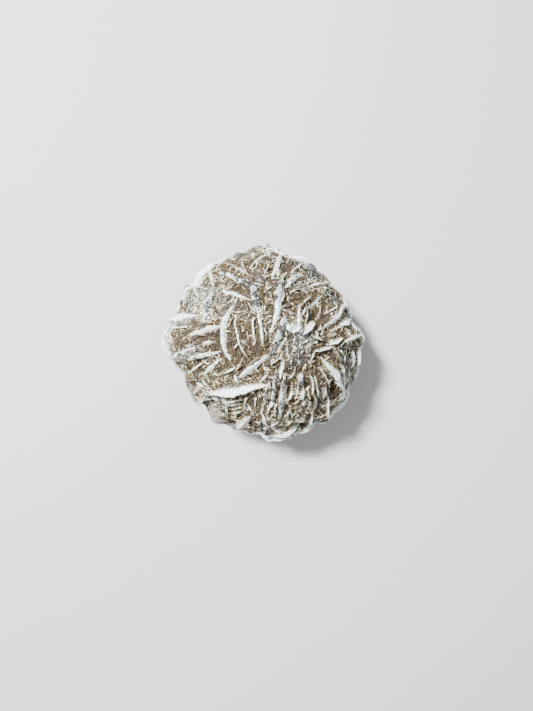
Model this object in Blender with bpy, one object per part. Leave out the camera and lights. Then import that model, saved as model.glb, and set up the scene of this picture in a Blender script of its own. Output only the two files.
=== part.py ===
"""Gypsum sand rose: one lump of lens-shaped crystals, grown together in sandy gypsum.

Metres, +Z up. The origin is the middle of the worn flat patch that the stone rests on.
Run it with: blender --background --python part.py
"""

import math
import random

import bmesh
import bpy
from mathutils import Vector, noise

# The lump: a dome above its widest ring and a flatter bowl below it, cut off flat at the rest patch.
WIDEST_HEIGHT = 0.013
DOME_RISE = 0.026
BOWL_DROP = 0.0142
FULLNESS = 2.2

# The plan: crystals and outline are placed in steps, as seen from straight above the stone.
PLAN_STEP = 0.0003
PLAN_HEIGHT = 0.019
EYE_HEIGHT = 0.172
SANDY_INSET = 0.0010

# The uneven sandy surface between the crystals.
LUMP_SPACING = 0.0075
LUMP_HEIGHT = 0.0011
FINER = 2.1
CORE_SUBDIVISIONS = 4

# Crystals: how far they stand out of the sand, how they thin towards their tips, and how far
# their two faces lean in towards the crest.
PROUD_BASE = 0.0008
PROUD_PER_WIDTH = 0.58
LIFT_POWER = 0.6
ROOT_DEPTH = 0.0016
TIP_DIP = 0.0004
TAIL_WIDTH = 0.00032
LENS_POWER = 1.15
MOST_BOW = 0.13
CREST_SHARE = 0.5
TANGENT_STEP = 0.05

# Where a crystal's cross-sections are, as shares of the way from its tips to its widest place.
NEAR_TIP = 0.4
SMALL_NEAR_TIP = 0.52
SMALL_WIDTH = 0.0017

# The worn flat patch.
CUTTER_SIZE = 0.10

# Edge of the stone in plan: angle from +X in degrees, radius in steps.
OUTLINE = [
    (2, 101), (8, 98), (14, 92.5), (19, 95), (24, 92), (32, 91), (40, 90), (54, 89.5), (70, 93),
    (78, 95), (87, 99), (94, 98), (102, 93), (110, 94), (124, 95), (132, 94), (139, 90), (145, 96),
    (151, 95), (158, 92.5), (170, 96), (178, 102), (183, 100), (191, 94), (200, 88), (214, 89),
    (221, 92), (228, 85), (238, 91), (254, 90), (267, 93), (273, 99), (286, 98.5), (302, 98),
    (309, 103), (316, 99), (326, 100), (333, 95), (349, 98.5), (356, 97.5),
]

# Hollows in the sandy surface, in plan steps: x, y, radius, depth.
HOLLOWS = [
    (69, -46, 6, 6), (-11, 60, 4, 4), (-62, 8, 8, 5), (-48, 5, 7, 4), (-8, -58, 9, 3), (22, 73, 7, 5),
    (4, -8, 6, 3),
    (-27, 55, 5, 4), (38, -81, 6, 5), (86, -6, 5, 2), (46, -71, 6, 4), (-30, 62, 6, 3),
    (-20, 8, 8, 3), (-45, -38, 9, 4), (62, 18, 6, 4), (30, 10, 5, 3), (-70, -25, 5, 3),
    (52, 28, 7, 3), (-70, 40, 8, 4), (28, -60, 6, 4), (8, 72, 5, 3),
]


def crystal(start, end, width, middle=None, lean=0.0, widest=0.5):
    """A crystal in plan steps; lean tips its crest to the left of the way from start to end.

    widest is how far along it its widest and tallest place is, as a share of its length.
    """
    if middle is None:
        middle = ((start[0] + end[0]) / 2, (start[1] + end[1]) / 2)
    return {
        "start": start, "middle": middle, "end": end, "width": width, "lean": lean,
        "widest": widest,
    }


NORTH_CRYSTALS = [
    crystal((-52, 78), (-50, 52), 2.8),
    crystal((-50, 52), (-65, 15), 6.5, (-57, 35), 8, widest=0.35),
    crystal((-48, 70), (-12, 55), 4.2, (-27, 64), -15),
    crystal((-11, 58), (-4, 26), 6.2, (-8, 42), widest=0.4),
    crystal((-6, 33), (-1, -5), 2.9, (-3, 14), widest=0.4),
    crystal((-42, 52), (-12, 42), 4, (-30, 50), widest=0.38),
    crystal((-38, 80), (-15, 69), 3.4, (-26, 76), widest=0.7),
    crystal((19.5, 93), (7, 62), 4.2, (14, 78)),
    crystal((39, 69), (20, 54), 4.2, (29, 63)),
    crystal((17, 63), (12, 35), 8, (17, 51)),
    crystal((14, 40), (6, 9), 6.2, (13, 28), widest=0.15),
    crystal((35, 40), (36, 10), 4.2, (36, 22)),
    crystal((45, 56), (65, 58), 2.8, (55, 59.5)),
    crystal((84, 39), (57, 7), 6, (74, 26), widest=0.25),
    crystal((57, 63), (36, 76), 8.5, (46, 70), 34),
    crystal((74, 17), (91, 27), 8, (82, 23)),
    crystal((84, 25), (92, 9), 5.5, (89, 18)),
]

WEST_CRYSTALS = [
    crystal((-27.5, 43), (-33, -19), 5.2, (-41, 12), widest=0.52),
    crystal((-77, 7), (-41, 17), 6.0, (-60, 14), 14),
    crystal((-96, 26), (-65, 28), 13, (-80, 27), 12, widest=0.4),
    crystal((-94, -14), (-65, -2), 10, (-82, -9), 22, widest=0.45),
    crystal((-76, -16), (-38, -8), 4.6, (-60, -12), widest=0.3),
    crystal((-63, -2), (-48, 1), 3.0, (-55, 1)),
    crystal((-61, -33), (-42, -14), 3.6, (-54, -25)),
    crystal((-101, 9), (-93, -10), 4.5, (-100, -1)),
    crystal((-83, 50), (-68, 56), 4.5, (-75, 56), 20),
]

EAST_CRYSTALS = [
    crystal((22, 27), (2, -26), 7.4, (15.5, 3), widest=0.34),
    crystal((20, 18), (31, 12), 5.0),
    crystal((26, 11), (38, 17), 5.0, (32, 13)),
    crystal((28, 21), (36, 12), 3.4),
    crystal((36, 7), (50, 23), 6.2, (43, 14)),
    crystal((7, -10), (-26, -36), 6, (-9, -24), widest=0.65),
    crystal((20.5, -17), (16, -38), 3.8),
    crystal((13.5, -28), (9.5, -48), 3.6),
    crystal((10, -47), (8, -60), 3.4),
    crystal((9.5, -56), (5, -65), 3.0),
    crystal((21.5, -28), (16.5, -74), 6.2, (20, -52), widest=0.62),
    crystal((29.5, -48), (23.5, -58), 3.0),
    crystal((63, -2), (79, 7), 3.2, (70, 2)),
    crystal((79, 1), (96, 8), 4.5, (88, 6)),
    crystal((48, -8), (72, -2), 3, (60, -6)),
    crystal((57, -14), (85, -52), 9, (74, -31)),
    crystal((76, -20), (81, -43), 3.5, (79, -30)),
    crystal((40, -44), (37.5, -57), 4),
    crystal((63, -49), (60, -76), 4.2, (64, -62)),
    crystal((37, -29), (38, -44), 4.6),
    crystal((91, 20), (96, -12), 4, (101, 3)),
    crystal((94, -13), (90, -27), 3.5, (96, -19)),
]

SOUTH_CRYSTALS = [
    crystal((-56, -49), (4, -42), 8.2, (-30, -49.5), 5, widest=0.45),
    crystal((-2, -69), (5, -83), 3),
    crystal((6, -37), (0, -66), 3.8, (4, -50)),
    crystal((-78, -55), (-61, -41), 5, (-70, -48), 25),
    crystal((-76, -66), (-59, -54), 6.5, (-67, -59)),
    crystal((-11, -71), (-29, -80), 8, (-20, -76), -15, widest=0.6),
    crystal((-52, -73), (-10, -89), 4, (-33, -83)),
    crystal((-10, -88), (8, -98), 4),
    crystal((0, -92), (38, -77), 6, (20, -90)),
    crystal((10, -96.5), (42, -89), 3, (26, -95.5)),
    crystal((50, -70), (42, -86), 4, (47, -78)),
    crystal((70, -72), (48, -84), 3, (61, -81)),
    crystal((84, -50), (71, -70), 3, (78, -61)),
]

# Crystals round the sides: height of a ring of fans, fans in it, crystals in each, and how far
# they may turn from lying level, in radians. Those of the top ring are long and make the rim.
SIDE_RINGS = [(0.0205, 12, 3, 0.32), (0.0135, 12, 3, 1.1), (0.0062, 10, 3, 1.57)]
SIDE_SEED = 43
SIDE_LENGTH = (0.0055, 0.0115)
RIM_LENGTH = (0.0085, 0.0150)
SIDE_WIDTH = (0.0008, 0.0021)
FAN_START = (0.0004, 0.0022)
FAN_SPREAD = (0.30, 0.75)
ROW_SPACING = (0.0024, 0.0036)
RIM_SPACING = (0.0019, 0.0027)
ROW_TURN = 0.16
RING_JITTER = 0.0022
FAN_JITTER = 0.3
RIM_RADIUS = 0.03
BOW = 0.12
SIDE_LEAN = 28.0
SLIGHT_TURN = 0.5

CORE_CENTRE = Vector((0, 0, WIDEST_HEIGHT))


def outline_radius(angle):
    """Radius of the stone's edge in plan, in metres, on a smooth curve through OUTLINE."""
    degrees = math.degrees(angle) % 360
    after = next((k for k, (edge, _) in enumerate(OUTLINE) if edge > degrees), 0)
    angle_a, radius_a = OUTLINE[after - 1]
    angle_b, radius_b = OUTLINE[after]
    share = ((degrees - angle_a) % 360) / ((angle_b - angle_a) % 360)
    blend = share * share * (3 - 2 * share)
    return (radius_a + (radius_b - radius_a) * blend) * PLAN_STEP


def dome_ratio(offset):
    """How far out an offset from the core's centre lies: 1 on the smooth dome, less inside it."""
    around = math.hypot(offset.x, offset.y) / (
        outline_radius(math.atan2(offset.y, offset.x)) - SANDY_INSET
    )
    along = abs(offset.z) / (DOME_RISE if offset.z > 0 else BOWL_DROP)
    return (around**FULLNESS + along**FULLNESS) ** (1 / FULLNESS)


def smooth_settle(point):
    """The point, moved along its ray from the core's centre on to the smooth dome."""
    offset = point - CORE_CENTRE
    return CORE_CENTRE + offset / dome_ratio(offset)


def plan_point(x, y):
    """A point of the plan as a place in space."""
    return Vector((x * PLAN_STEP, y * PLAN_STEP, PLAN_HEIGHT))


def cast_down(x, y, surface, lift=0.0):
    """Where the line of sight through a plan point comes within lift of a surface function."""
    eye = Vector((0, 0, EYE_HEIGHT))
    target = plan_point(x, y)
    near, far = 0.0, 1.0
    for _ in range(30):
        middle = (near + far) / 2
        point = eye.lerp(target, middle)
        if (point - CORE_CENTRE).length > (surface(point) - CORE_CENTRE).length + lift:
            near = middle
        else:
            far = middle
    return eye.lerp(target, far)


def placed_hollows():
    """The hollows as (centre on the dome, radius, depth), in metres."""
    return [
        (smooth_settle(cast_down(x, y, smooth_settle)), radius * PLAN_STEP, depth * PLAN_STEP)
        for x, y, radius, depth in HOLLOWS
    ]


PLACED_HOLLOWS = placed_hollows()


def relief(point):
    """Height of the uneven sandy surface over the smooth dome at a point on the dome."""
    lumps = LUMP_HEIGHT * noise.noise(point / LUMP_SPACING)
    lumps += LUMP_HEIGHT / 2 * noise.noise(point / LUMP_SPACING * FINER)
    sunk = 0.0
    for centre, radius, depth in PLACED_HOLLOWS:
        distance = (point - centre).length / radius
        if distance < 3:
            sunk += depth * math.exp(-distance * distance)
    return lumps - sunk


def settle(point, lift=0.0):
    """The point, moved along its ray from the core's centre to lift above the sandy surface."""
    on_dome = smooth_settle(point)
    ray = on_dome - CORE_CENTRE
    return CORE_CENTRE + ray.normalized() * (ray.length + relief(on_dome) + lift)


def proud_height(width):
    """How far a crystal of this width stands out of the sand at its middle."""
    return PROUD_BASE + PROUD_PER_WIDTH * width


def straightened(start, middle, end):
    """The middle point of a crystal, moved so that it is only slightly bowed along the surface."""
    outward = (middle - CORE_CENTRE).normalized()
    bow = middle - (start + end) / 2
    bow -= outward * bow.dot(outward)
    most = MOST_BOW * (end - start).length
    return middle - bow * max(0.0, 1 - most / max(bow.length, most))


def plan_crystal(entry):
    """A crystal of the plan, as points in space."""
    width = entry["width"] * PLAN_STEP
    lifts = {"start": 0, "middle": proud_height(width), "end": 0}
    points = [settle(cast_down(*entry[name], settle, lift), lift) for name, lift in lifts.items()]
    points[1] = straightened(*points)
    return {
        "points": points, "width": width, "lean": math.radians(entry["lean"]),
        "widest": entry["widest"],
    }


def axes_towards(centre, heading):
    """Along a heading and across it, laid flat on the stone's side at a point.

    A heading of 0 is level, and a quarter turn is straight up.
    """
    outward = (centre - CORE_CENTRE).normalized()
    east = Vector((0, 0, 1)).cross(outward).normalized()
    north = outward.cross(east)
    along = east * math.cos(heading) + north * math.sin(heading)
    return along, outward.cross(along)


def side_crystal(rng, centre, heading, length):
    """A crystal that lies on the stone's side, from a point towards a heading."""
    along, across = axes_towards(centre, heading)
    bow = across * length * rng.uniform(-BOW, BOW)
    points = [centre, centre + along * length / 2 + bow, centre + along * length]
    lean = math.radians(rng.uniform(-SIDE_LEAN, SIDE_LEAN))
    return {"points": points, "width": rng.uniform(*SIDE_WIDTH), "lean": lean, "widest": 0.5}


def side_fan(rng, centre, count, turn_limit):
    """Crystals that spread from one place, or lie in a row beside each other."""
    is_rim = turn_limit < SLIGHT_TURN
    heading = rng.choice((0, math.pi)) + rng.uniform(-turn_limit, turn_limit)
    in_row = rng.random() < 0.5 or is_rim
    fan = []
    for number in range(count):
        from_middle = number - (count - 1) / 2
        length = rng.uniform(*(RIM_LENGTH if is_rim else SIDE_LENGTH))
        if in_row:
            turn = heading + rng.uniform(-ROW_TURN, ROW_TURN)
            sideways = from_middle * rng.uniform(*(RIM_SPACING if is_rim else ROW_SPACING))
            back = -length / 2 + rng.uniform(*FAN_START)
        else:
            turn = heading + from_middle * rng.uniform(*FAN_SPREAD) * 2
            sideways = 0.0
            back = rng.uniform(*FAN_START)
        along, across = axes_towards(centre, turn)
        fan.append(side_crystal(rng, centre + along * back + across * sideways, turn, length))
    return fan


def side_crystals():
    """The crystals round the stone's sides, from the rim down."""
    rng = random.Random(SIDE_SEED)
    found = []
    for height, fans, count, turn_limit in SIDE_RINGS:
        for number in range(fans):
            angle = 2 * math.pi * (number + rng.uniform(-FAN_JITTER, FAN_JITTER)) / fans
            level = height + rng.uniform(-RING_JITTER, RING_JITTER)
            toward = Vector((math.cos(angle) * RIM_RADIUS, math.sin(angle) * RIM_RADIUS, level))
            found += side_fan(rng, smooth_settle(toward), count, turn_limit)
    return found


def all_crystals():
    """The crystals of the solid: those of the plan, then those round the sides."""
    listed = NORTH_CRYSTALS + WEST_CRYSTALS + EAST_CRYSTALS + SOUTH_CRYSTALS
    return [plan_crystal(entry) for entry in listed] + side_crystals()


def arch(share):
    """0 at a crystal's tips and 1 at its middle."""
    return 4 * share * (1 - share)


def crystal_curve(body, share):
    """The curve through the crystal's three points, share of the way along it."""
    start, middle, end = body["points"]
    return (
        start * (2 * (share - 0.5) * (share - 1))
        + middle * arch(share)
        + end * (2 * share * (share - 0.5))
    )


def fullness(body, share):
    """0 at a crystal's tips and 1 at its widest place, share of the way along it."""
    return arch(share ** (math.log(0.5) / math.log(body["widest"])))


def height_here(body, share):
    """How far the crystal stands out of the sand, share of the way along it."""
    return proud_height(body["width"]) * fullness(body, share) ** LIFT_POWER


def crest_point(body, share):
    """A point of the crystal's crest, share of the way along it."""
    return settle(crystal_curve(body, share), height_here(body, share) - TIP_DIP * (1 - arch(share)))


def blade_section(body, share):
    """Four corners across the crystal: two on its blunt crest and two at its root."""
    crest = crest_point(body, share)
    ahead = smooth_settle(crystal_curve(body, share + TANGENT_STEP))
    along = (ahead - smooth_settle(crystal_curve(body, share - TANGENT_STEP))).normalized()
    outward = (crest - CORE_CENTRE).normalized()
    upright = (outward - along * outward.dot(along)).normalized()
    left = upright.cross(along)
    rise = upright * math.cos(body["lean"]) + left * math.sin(body["lean"])
    across = rise.cross(along)
    half = (TAIL_WIDTH + (body["width"] - TAIL_WIDTH) * fullness(body, share) ** LENS_POWER) / 2
    root = crest - rise * (height_here(body, share) + ROOT_DEPTH)
    return [
        crest + across * half * CREST_SHARE,
        crest - across * half * CREST_SHARE,
        root - across * half,
        root + across * half,
    ]


def stations(body):
    """Where along the crystal its cross-sections are, as shares of its length."""
    widest = body["widest"]
    if body["width"] < SMALL_WIDTH:
        return widest * SMALL_NEAR_TIP, 1 - (1 - widest) * SMALL_NEAR_TIP
    return widest * NEAR_TIP, widest, 1 - (1 - widest) * NEAR_TIP


def add_blade(mesh, body):
    """Add one closed lens-shaped crystal to the mesh."""
    shares = stations(body)
    sections = [[mesh.verts.new(corner) for corner in blade_section(body, share)] for share in shares]
    tips = [mesh.verts.new(settle(body["points"][end], -TIP_DIP)) for end in (0, -1)]
    for near, far in zip(sections, sections[1:]):
        for k in range(4):
            mesh.faces.new((near[k], near[k - 1], far[k - 1], far[k]))
    for k in range(4):
        mesh.faces.new((tips[0], sections[0][k - 1], sections[0][k]))
        mesh.faces.new((tips[1], sections[-1][k], sections[-1][k - 1]))


def new_object(name, mesh):
    """An object in the scene from a bmesh, with its faces turned outwards."""
    bmesh.ops.recalc_face_normals(mesh, faces=mesh.faces)
    data = bpy.data.meshes.new(name)
    mesh.to_mesh(data)
    mesh.free()
    made = bpy.data.objects.new(name, data)
    bpy.context.scene.collection.objects.link(made)
    return made


def sandy_core():
    """The lump of sandy gypsum that the crystals grow from."""
    mesh = bmesh.new()
    bmesh.ops.create_icosphere(mesh, subdivisions=CORE_SUBDIVISIONS, radius=1.0)
    for vertex in mesh.verts:
        vertex.co = settle(CORE_CENTRE + vertex.co)
    return new_object("sand_rose", mesh)


def crystal_blades():
    """All the crystals, as closed blades that still cross each other."""
    mesh = bmesh.new()
    for body in all_crystals():
        add_blade(mesh, body)
    bmesh.ops.triangulate(mesh, faces=mesh.faces)
    return as_guide(new_object("crystal_blades", mesh))


def worn_patch_cutter():
    """A block below the ground that the stone's underside is worn flat against."""
    mesh = bmesh.new()
    bmesh.ops.create_cube(mesh, size=CUTTER_SIZE)
    bmesh.ops.translate(mesh, verts=mesh.verts, vec=(0, 0, -CUTTER_SIZE / 2))
    return as_guide(new_object("worn_patch_cutter", mesh))


def as_guide(made):
    """The object, kept out of the finished part."""
    made.hide_render = True
    made.display_type = "WIRE"
    return made


def add_boolean(made, name, operation, other):
    """Join to or cut from the object with another one."""
    step = made.modifiers.new(name, "BOOLEAN")
    step.operation = operation
    step.object = other
    step.solver = "EXACT"
    step.use_self = True


def stone_material():
    """Pale sandy gypsum."""
    stone = bpy.data.materials.new("sandy_gypsum")
    stone.use_nodes = True
    shader = stone.node_tree.nodes["Principled BSDF"]
    shader.inputs["Base Color"].default_value = (0.55, 0.48, 0.37, 1)
    shader.inputs["Roughness"].default_value = 0.9
    shader.inputs["Metallic"].default_value = 0.0
    return stone


def clear_scene():
    """Take away whatever the scene starts with."""
    for made in list(bpy.data.objects):
        bpy.data.objects.remove(made, do_unlink=True)


clear_scene()
rose = sandy_core()
rose.data.materials.append(stone_material())
add_boolean(rose, "grow_crystals", "UNION", crystal_blades())
add_boolean(rose, "wear_flat", "DIFFERENCE", worn_patch_cutter())
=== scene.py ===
import functools
import math
import random

import bmesh
import bpy
from mathutils import Matrix, Vector, kdtree, noise


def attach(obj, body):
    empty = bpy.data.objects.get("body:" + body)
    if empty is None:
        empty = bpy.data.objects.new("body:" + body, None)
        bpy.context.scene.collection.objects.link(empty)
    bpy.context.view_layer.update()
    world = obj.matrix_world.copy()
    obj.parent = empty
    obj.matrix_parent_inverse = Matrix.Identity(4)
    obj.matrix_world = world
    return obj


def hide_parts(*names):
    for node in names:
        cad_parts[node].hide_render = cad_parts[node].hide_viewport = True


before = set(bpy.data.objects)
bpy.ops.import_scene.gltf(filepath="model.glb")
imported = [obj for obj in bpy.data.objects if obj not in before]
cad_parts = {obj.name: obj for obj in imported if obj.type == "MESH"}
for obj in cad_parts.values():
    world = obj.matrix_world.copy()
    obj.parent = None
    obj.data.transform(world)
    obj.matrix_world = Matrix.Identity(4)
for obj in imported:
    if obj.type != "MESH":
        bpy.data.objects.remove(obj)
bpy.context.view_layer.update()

# The lump: a dome above its widest ring and a flatter bowl below it, cut off flat where it rests.
WIDEST_HEIGHT = 0.013
DOME_RISE = 0.026
BOWL_DROP = 0.0142
FULLNESS = 2.2

# The plan: crystals and outline are placed in steps, as seen from straight above the stone.
PLAN_STEP = 0.0003
PLAN_HEIGHT = 0.019
EYE_HEIGHT = 0.172
SANDY_INSET = 0.0010
SIGHT_HALVINGS = 30

# How the stone lies in an upright view of it from above, in the view's own pixels.
VIEW_HEIGHT = 711
STONE_LEFT = 2.5
STONE_UP = 12.5
FOCAL_LENGTH = (EYE_HEIGHT - PLAN_HEIGHT) / PLAN_STEP

# The uneven sandy surface between the crystals, coarse and fine: spacing, height.
LUMP_SPACING = 0.0075
LUMP_HEIGHT = 0.0011
FINER = 2.1
FINE_RELIEF = [(0.0024, 0.00034), (0.0011, 0.00024)]
MATRIX_CUTS = 104
MATRIX_SINK = 0.00025

# Large crystals: how far they stand out of the sand, and how they thin towards their tips.
PROUD_BASE = 0.0008
PROUD_PER_WIDTH = 0.58
LIFT_POWER = 0.6
ROOT_DEPTH = 0.0016
TIP_DIP = 0.0004
TAIL_WIDTH = 0.00032
TAIL_SHARE = 0.45
LENS_POWER = 1.15
BLUNT_SHARE = 0.05
MOST_BOW = 0.13
TANGENT_STEP = 0.05

# The mesh of a crystal: the spacing of its rings on the top, at the sides and in the fills.
TOP_SPACING = 0.00024
SIDE_SPACING = 0.0003
FILL_SPACING = 0.0004
LEAST_RINGS = 4

# The broken surface of a crystal: grains, blocks, chips in its crest and a ragged edge, and how
# much of that is gone where it is worn.
GRAIN_SPACING = 0.00055
GRAIN_HEIGHT = 0.00009
GRAIN_SHIFTS = (Vector((9.3, -1.5, -7.9)), Vector((0.4, 0.7, 0.2)), Vector((-6.2, 5.1, 3.6)))
BLOCK_SPACING = 0.00042
BLOCK_HEIGHT = 0.00010
CHIP_SPACING = 0.0011
CHIP_DEPTH = 0.00055
CHIP_FROM = 0.1
RAG_SPACING = 0.0008
RAG_SHARE = 0.42
RAG_SHIFT = Vector((5, 0, 3))
WORN_SMOOTH = 0.6


def mirrored(half):
    """A whole cross-section from its right half, root first and crest last."""
    return [(-side, depth) for side, depth in half] + list(reversed(half))


# Points across a crystal, from its root to its ridge: side (0 to 1 of its half width), depth
# below the ridge (1 is the root). It is a wedge: two faces that meet in a ridge.
BROAD_SECTION = mirrored([
    (1.0, 1.0), (1.0, 0.72), (0.97, 0.58), (0.88, 0.44), (0.75, 0.32),
    (0.58, 0.21), (0.40, 0.12), (0.22, 0.05), (0.06, 0.0),
])
SLIM_SECTION = mirrored([(1.0, 1.0), (1.0, 0.60), (0.80, 0.34), (0.35, 0.08)])
SMALL_SECTION = mirrored([(1.0, 1.0), (0.90, 0.45), (0.30, 0.08)])
SLIM_BELOW = 0.00075

# The faces of a thin crystal are no steeper than this near its ridge, which runs to one side.
# From FLANK_SIDE outwards, as a share of its half width, they are its upright flanks.
STEEPEST = 0.85
FLANK_SIDE = 0.96
RIDGE_SHARE = 0.45
RIDGE_SPACING = 0.00037

# Edge of the stone in plan: angle from +X in degrees, radius in steps.
OUTLINE = [
    (2, 101), (8, 98), (14, 92.5), (19, 95), (24, 92), (32, 91), (40, 90), (54, 89.5), (70, 93),
    (78, 95), (87, 99), (94, 98), (102, 93), (110, 94), (124, 95), (132, 94), (139, 90), (145, 96),
    (151, 95), (158, 92.5), (170, 96), (178, 102), (183, 100), (191, 94), (200, 88), (214, 89),
    (221, 92), (228, 85), (238, 91), (254, 90), (267, 93), (273, 99), (286, 98.5), (302, 98),
    (309, 103), (316, 99), (326, 100), (333, 95), (349, 98.5), (356, 97.5),
]

# Hollows in the sandy surface, in plan steps: x, y, radius, depth.
HOLLOWS = [
    (69, -46, 6, 6), (-11, 60, 4, 4), (-62, 8, 8, 5), (-48, 5, 7, 4), (-8, -58, 9, 3),
    (22, 73, 7, 5), (4, -8, 6, 3), (-27, 55, 5, 4), (38, -81, 6, 5), (86, -6, 5, 2),
    (46, -71, 6, 4), (-30, 62, 6, 3), (-20, 8, 8, 3), (-45, -38, 9, 4), (62, 18, 6, 4),
    (30, 10, 5, 3), (-70, -25, 5, 3), (52, 28, 7, 3), (-70, 40, 8, 4), (28, -60, 6, 4),
    (8, 72, 5, 3),
]

# Patches with a pale mineral crust on them, in plan steps: x, y, radius, how pale, how grey.
CRUSTS = [
    (39, 0, 13, 0.8, 1.0), (-58, 50, 13, 0.8, 0.6), (80, -22, 13, 0.5, 0.8), (-46, 42, 10, 0.6, 0.4),
    (34, -22, 10, 0.5, 0.9), (-7, 62, 7, 0.7, 0.6), (24, 56, 8, 0.3, 0.9), (72, 8, 10, 0.5, 0.5),
    (50, -60, 11, 0.4, 0.8), (30, 14, 8, 0.9, 0.1), (-4, 94, 8, 0.8, 0.1), (-27, -38, 6, 0.8, 0.1),
    (52, -76, 9, 0.6, 0.6), (-60, 25, 8, 0.6, 0.2), (58, 76, 9, 0.3, 0.7), (12, -80, 8, 0.5, 0.5),
    (28, -95, 12, 0.6, 0.4), (-66, -40, 7, 0.5, 0.1), (88, -48, 9, 0.4, 0.6), (68, 47, 11, 0.1, 0.9),
    (46, 68, 9, 0.0, 0.9), (-7, 88, 7, 0.5, 0.2),
]

# Patches of earthier or paler sand, in plan steps: x, y, radius, how much paler. They are partly the
# sand's own tone and partly painted light and painted shade: painted shade beside and below
# crystals, and painted light in hollows and low places that lie in shade.
SAND_TONE_AND_PAINTED_LIGHT = [
    (-48, 4, 13, -1.60), (-28, -6, 14, -0.55), (-10, -12, 10, -0.45), (36, 48, 13, -0.35),
    (60, 32, 13, -0.50), (50, 21, 9, -0.75), (73, 12, 10, -0.70), (54, -3, 7, -0.40),
    (40, -36, 12, -0.50), (50, -58, 9, -0.60), (-20, 86, 13, -1.50), (-8, 82, 9, -0.60),
    (25, 77, 11, -0.80), (48, 72, 9, -0.90), (-24, 46, 13, -0.40), (-60, 11, 9, -0.40),
    (-68, -54, 20, -1.30), (-50, -72, 17, -1.20), (-32, -62, 11, -0.50), (-24, -86, 14, -1.20),
    (-84, -2, 10, -0.75), (-84, -24, 9, -1.10), (-72, -36, 9, -0.65), (-70, -10, 9, -0.70),
    (-68, 38, 14, 0.70), (-58, 27, 12, 0.75), (-42, 42, 12, 0.40), (-82, 22, 10, 0.30),
    (24, -54, 9, 0.75), (16, -84, 13, 0.65), (60, -49, 7, 0.60), (12, 48, 7, -0.60),
    (72, 48, 9, -0.60), (12, -60, 6, -0.80), (-2, -72, 9, -0.35), (12, -13, 8, 0.60),
    (24, 12, 8, 0.30), (62, -61, 9, 0.80), (-12, -48, 7, 0.45), (-12, -62, 7, -0.30),
    (36, -14, 7, 0.35), (88, 22, 8, 0.60), (86, -2, 9, 0.80), (-36, 60, 8, 0.45),
    (-50, -36, 12, 0.40), (-24, 12, 7, 0.30), (48, 40, 8, 0.40), (72, -12, 9, -0.60),
    (50, -13, 8, -0.40), (72, -47, 8, -0.50), (-82, 50, 12, -0.45), (-22, -72, 7, -0.50),
    (12, -24, 7, -0.30), (0, 42, 8, -0.35), (36, -28, 8, -0.40), (60, 24, 7, -0.30),
]

# How many radii out a hollow, and a crust or a patch of tone and painted light, is still reckoned.
HOLLOW_REACH = 3
PATCH_REACH = 2

# Thin crusts that lie all over the stone: where their noise starts to show, and how fast it grows.
CRUST_SPACING = 0.011
CRUST_SHIFT = Vector((7, 3, 5))
PALE_FROM = 0.12
GREY_FROM = 0.15
CRUST_GAIN = 1.6


def crystal(
    start, end, width, middle=None, lean=0.0, speck=0.0, grey=0.0, worn=0.0, widest=0.5, earthy=0.0,
):
    """A crystal in plan steps; lean tips its crest to the left of the way from start to end.

    speck is how much dark mineral it carries, grey how clear and blue-grey its middle is, and
    worn how smooth and pinkish its flanks are, each from 0 to 1. widest is how far along it
    its widest and tallest place is, as a share of its length. earthy is how much browner than
    white its crest is, from 0 to 1.
    """
    if middle is None:
        middle = ((start[0] + end[0]) / 2, (start[1] + end[1]) / 2)
    return {
        "start": start, "middle": middle, "end": end, "width": width, "lean": lean,
        "speck": speck, "grey": grey, "worn": worn, "widest": widest, "earthy": earthy,
    }


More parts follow.
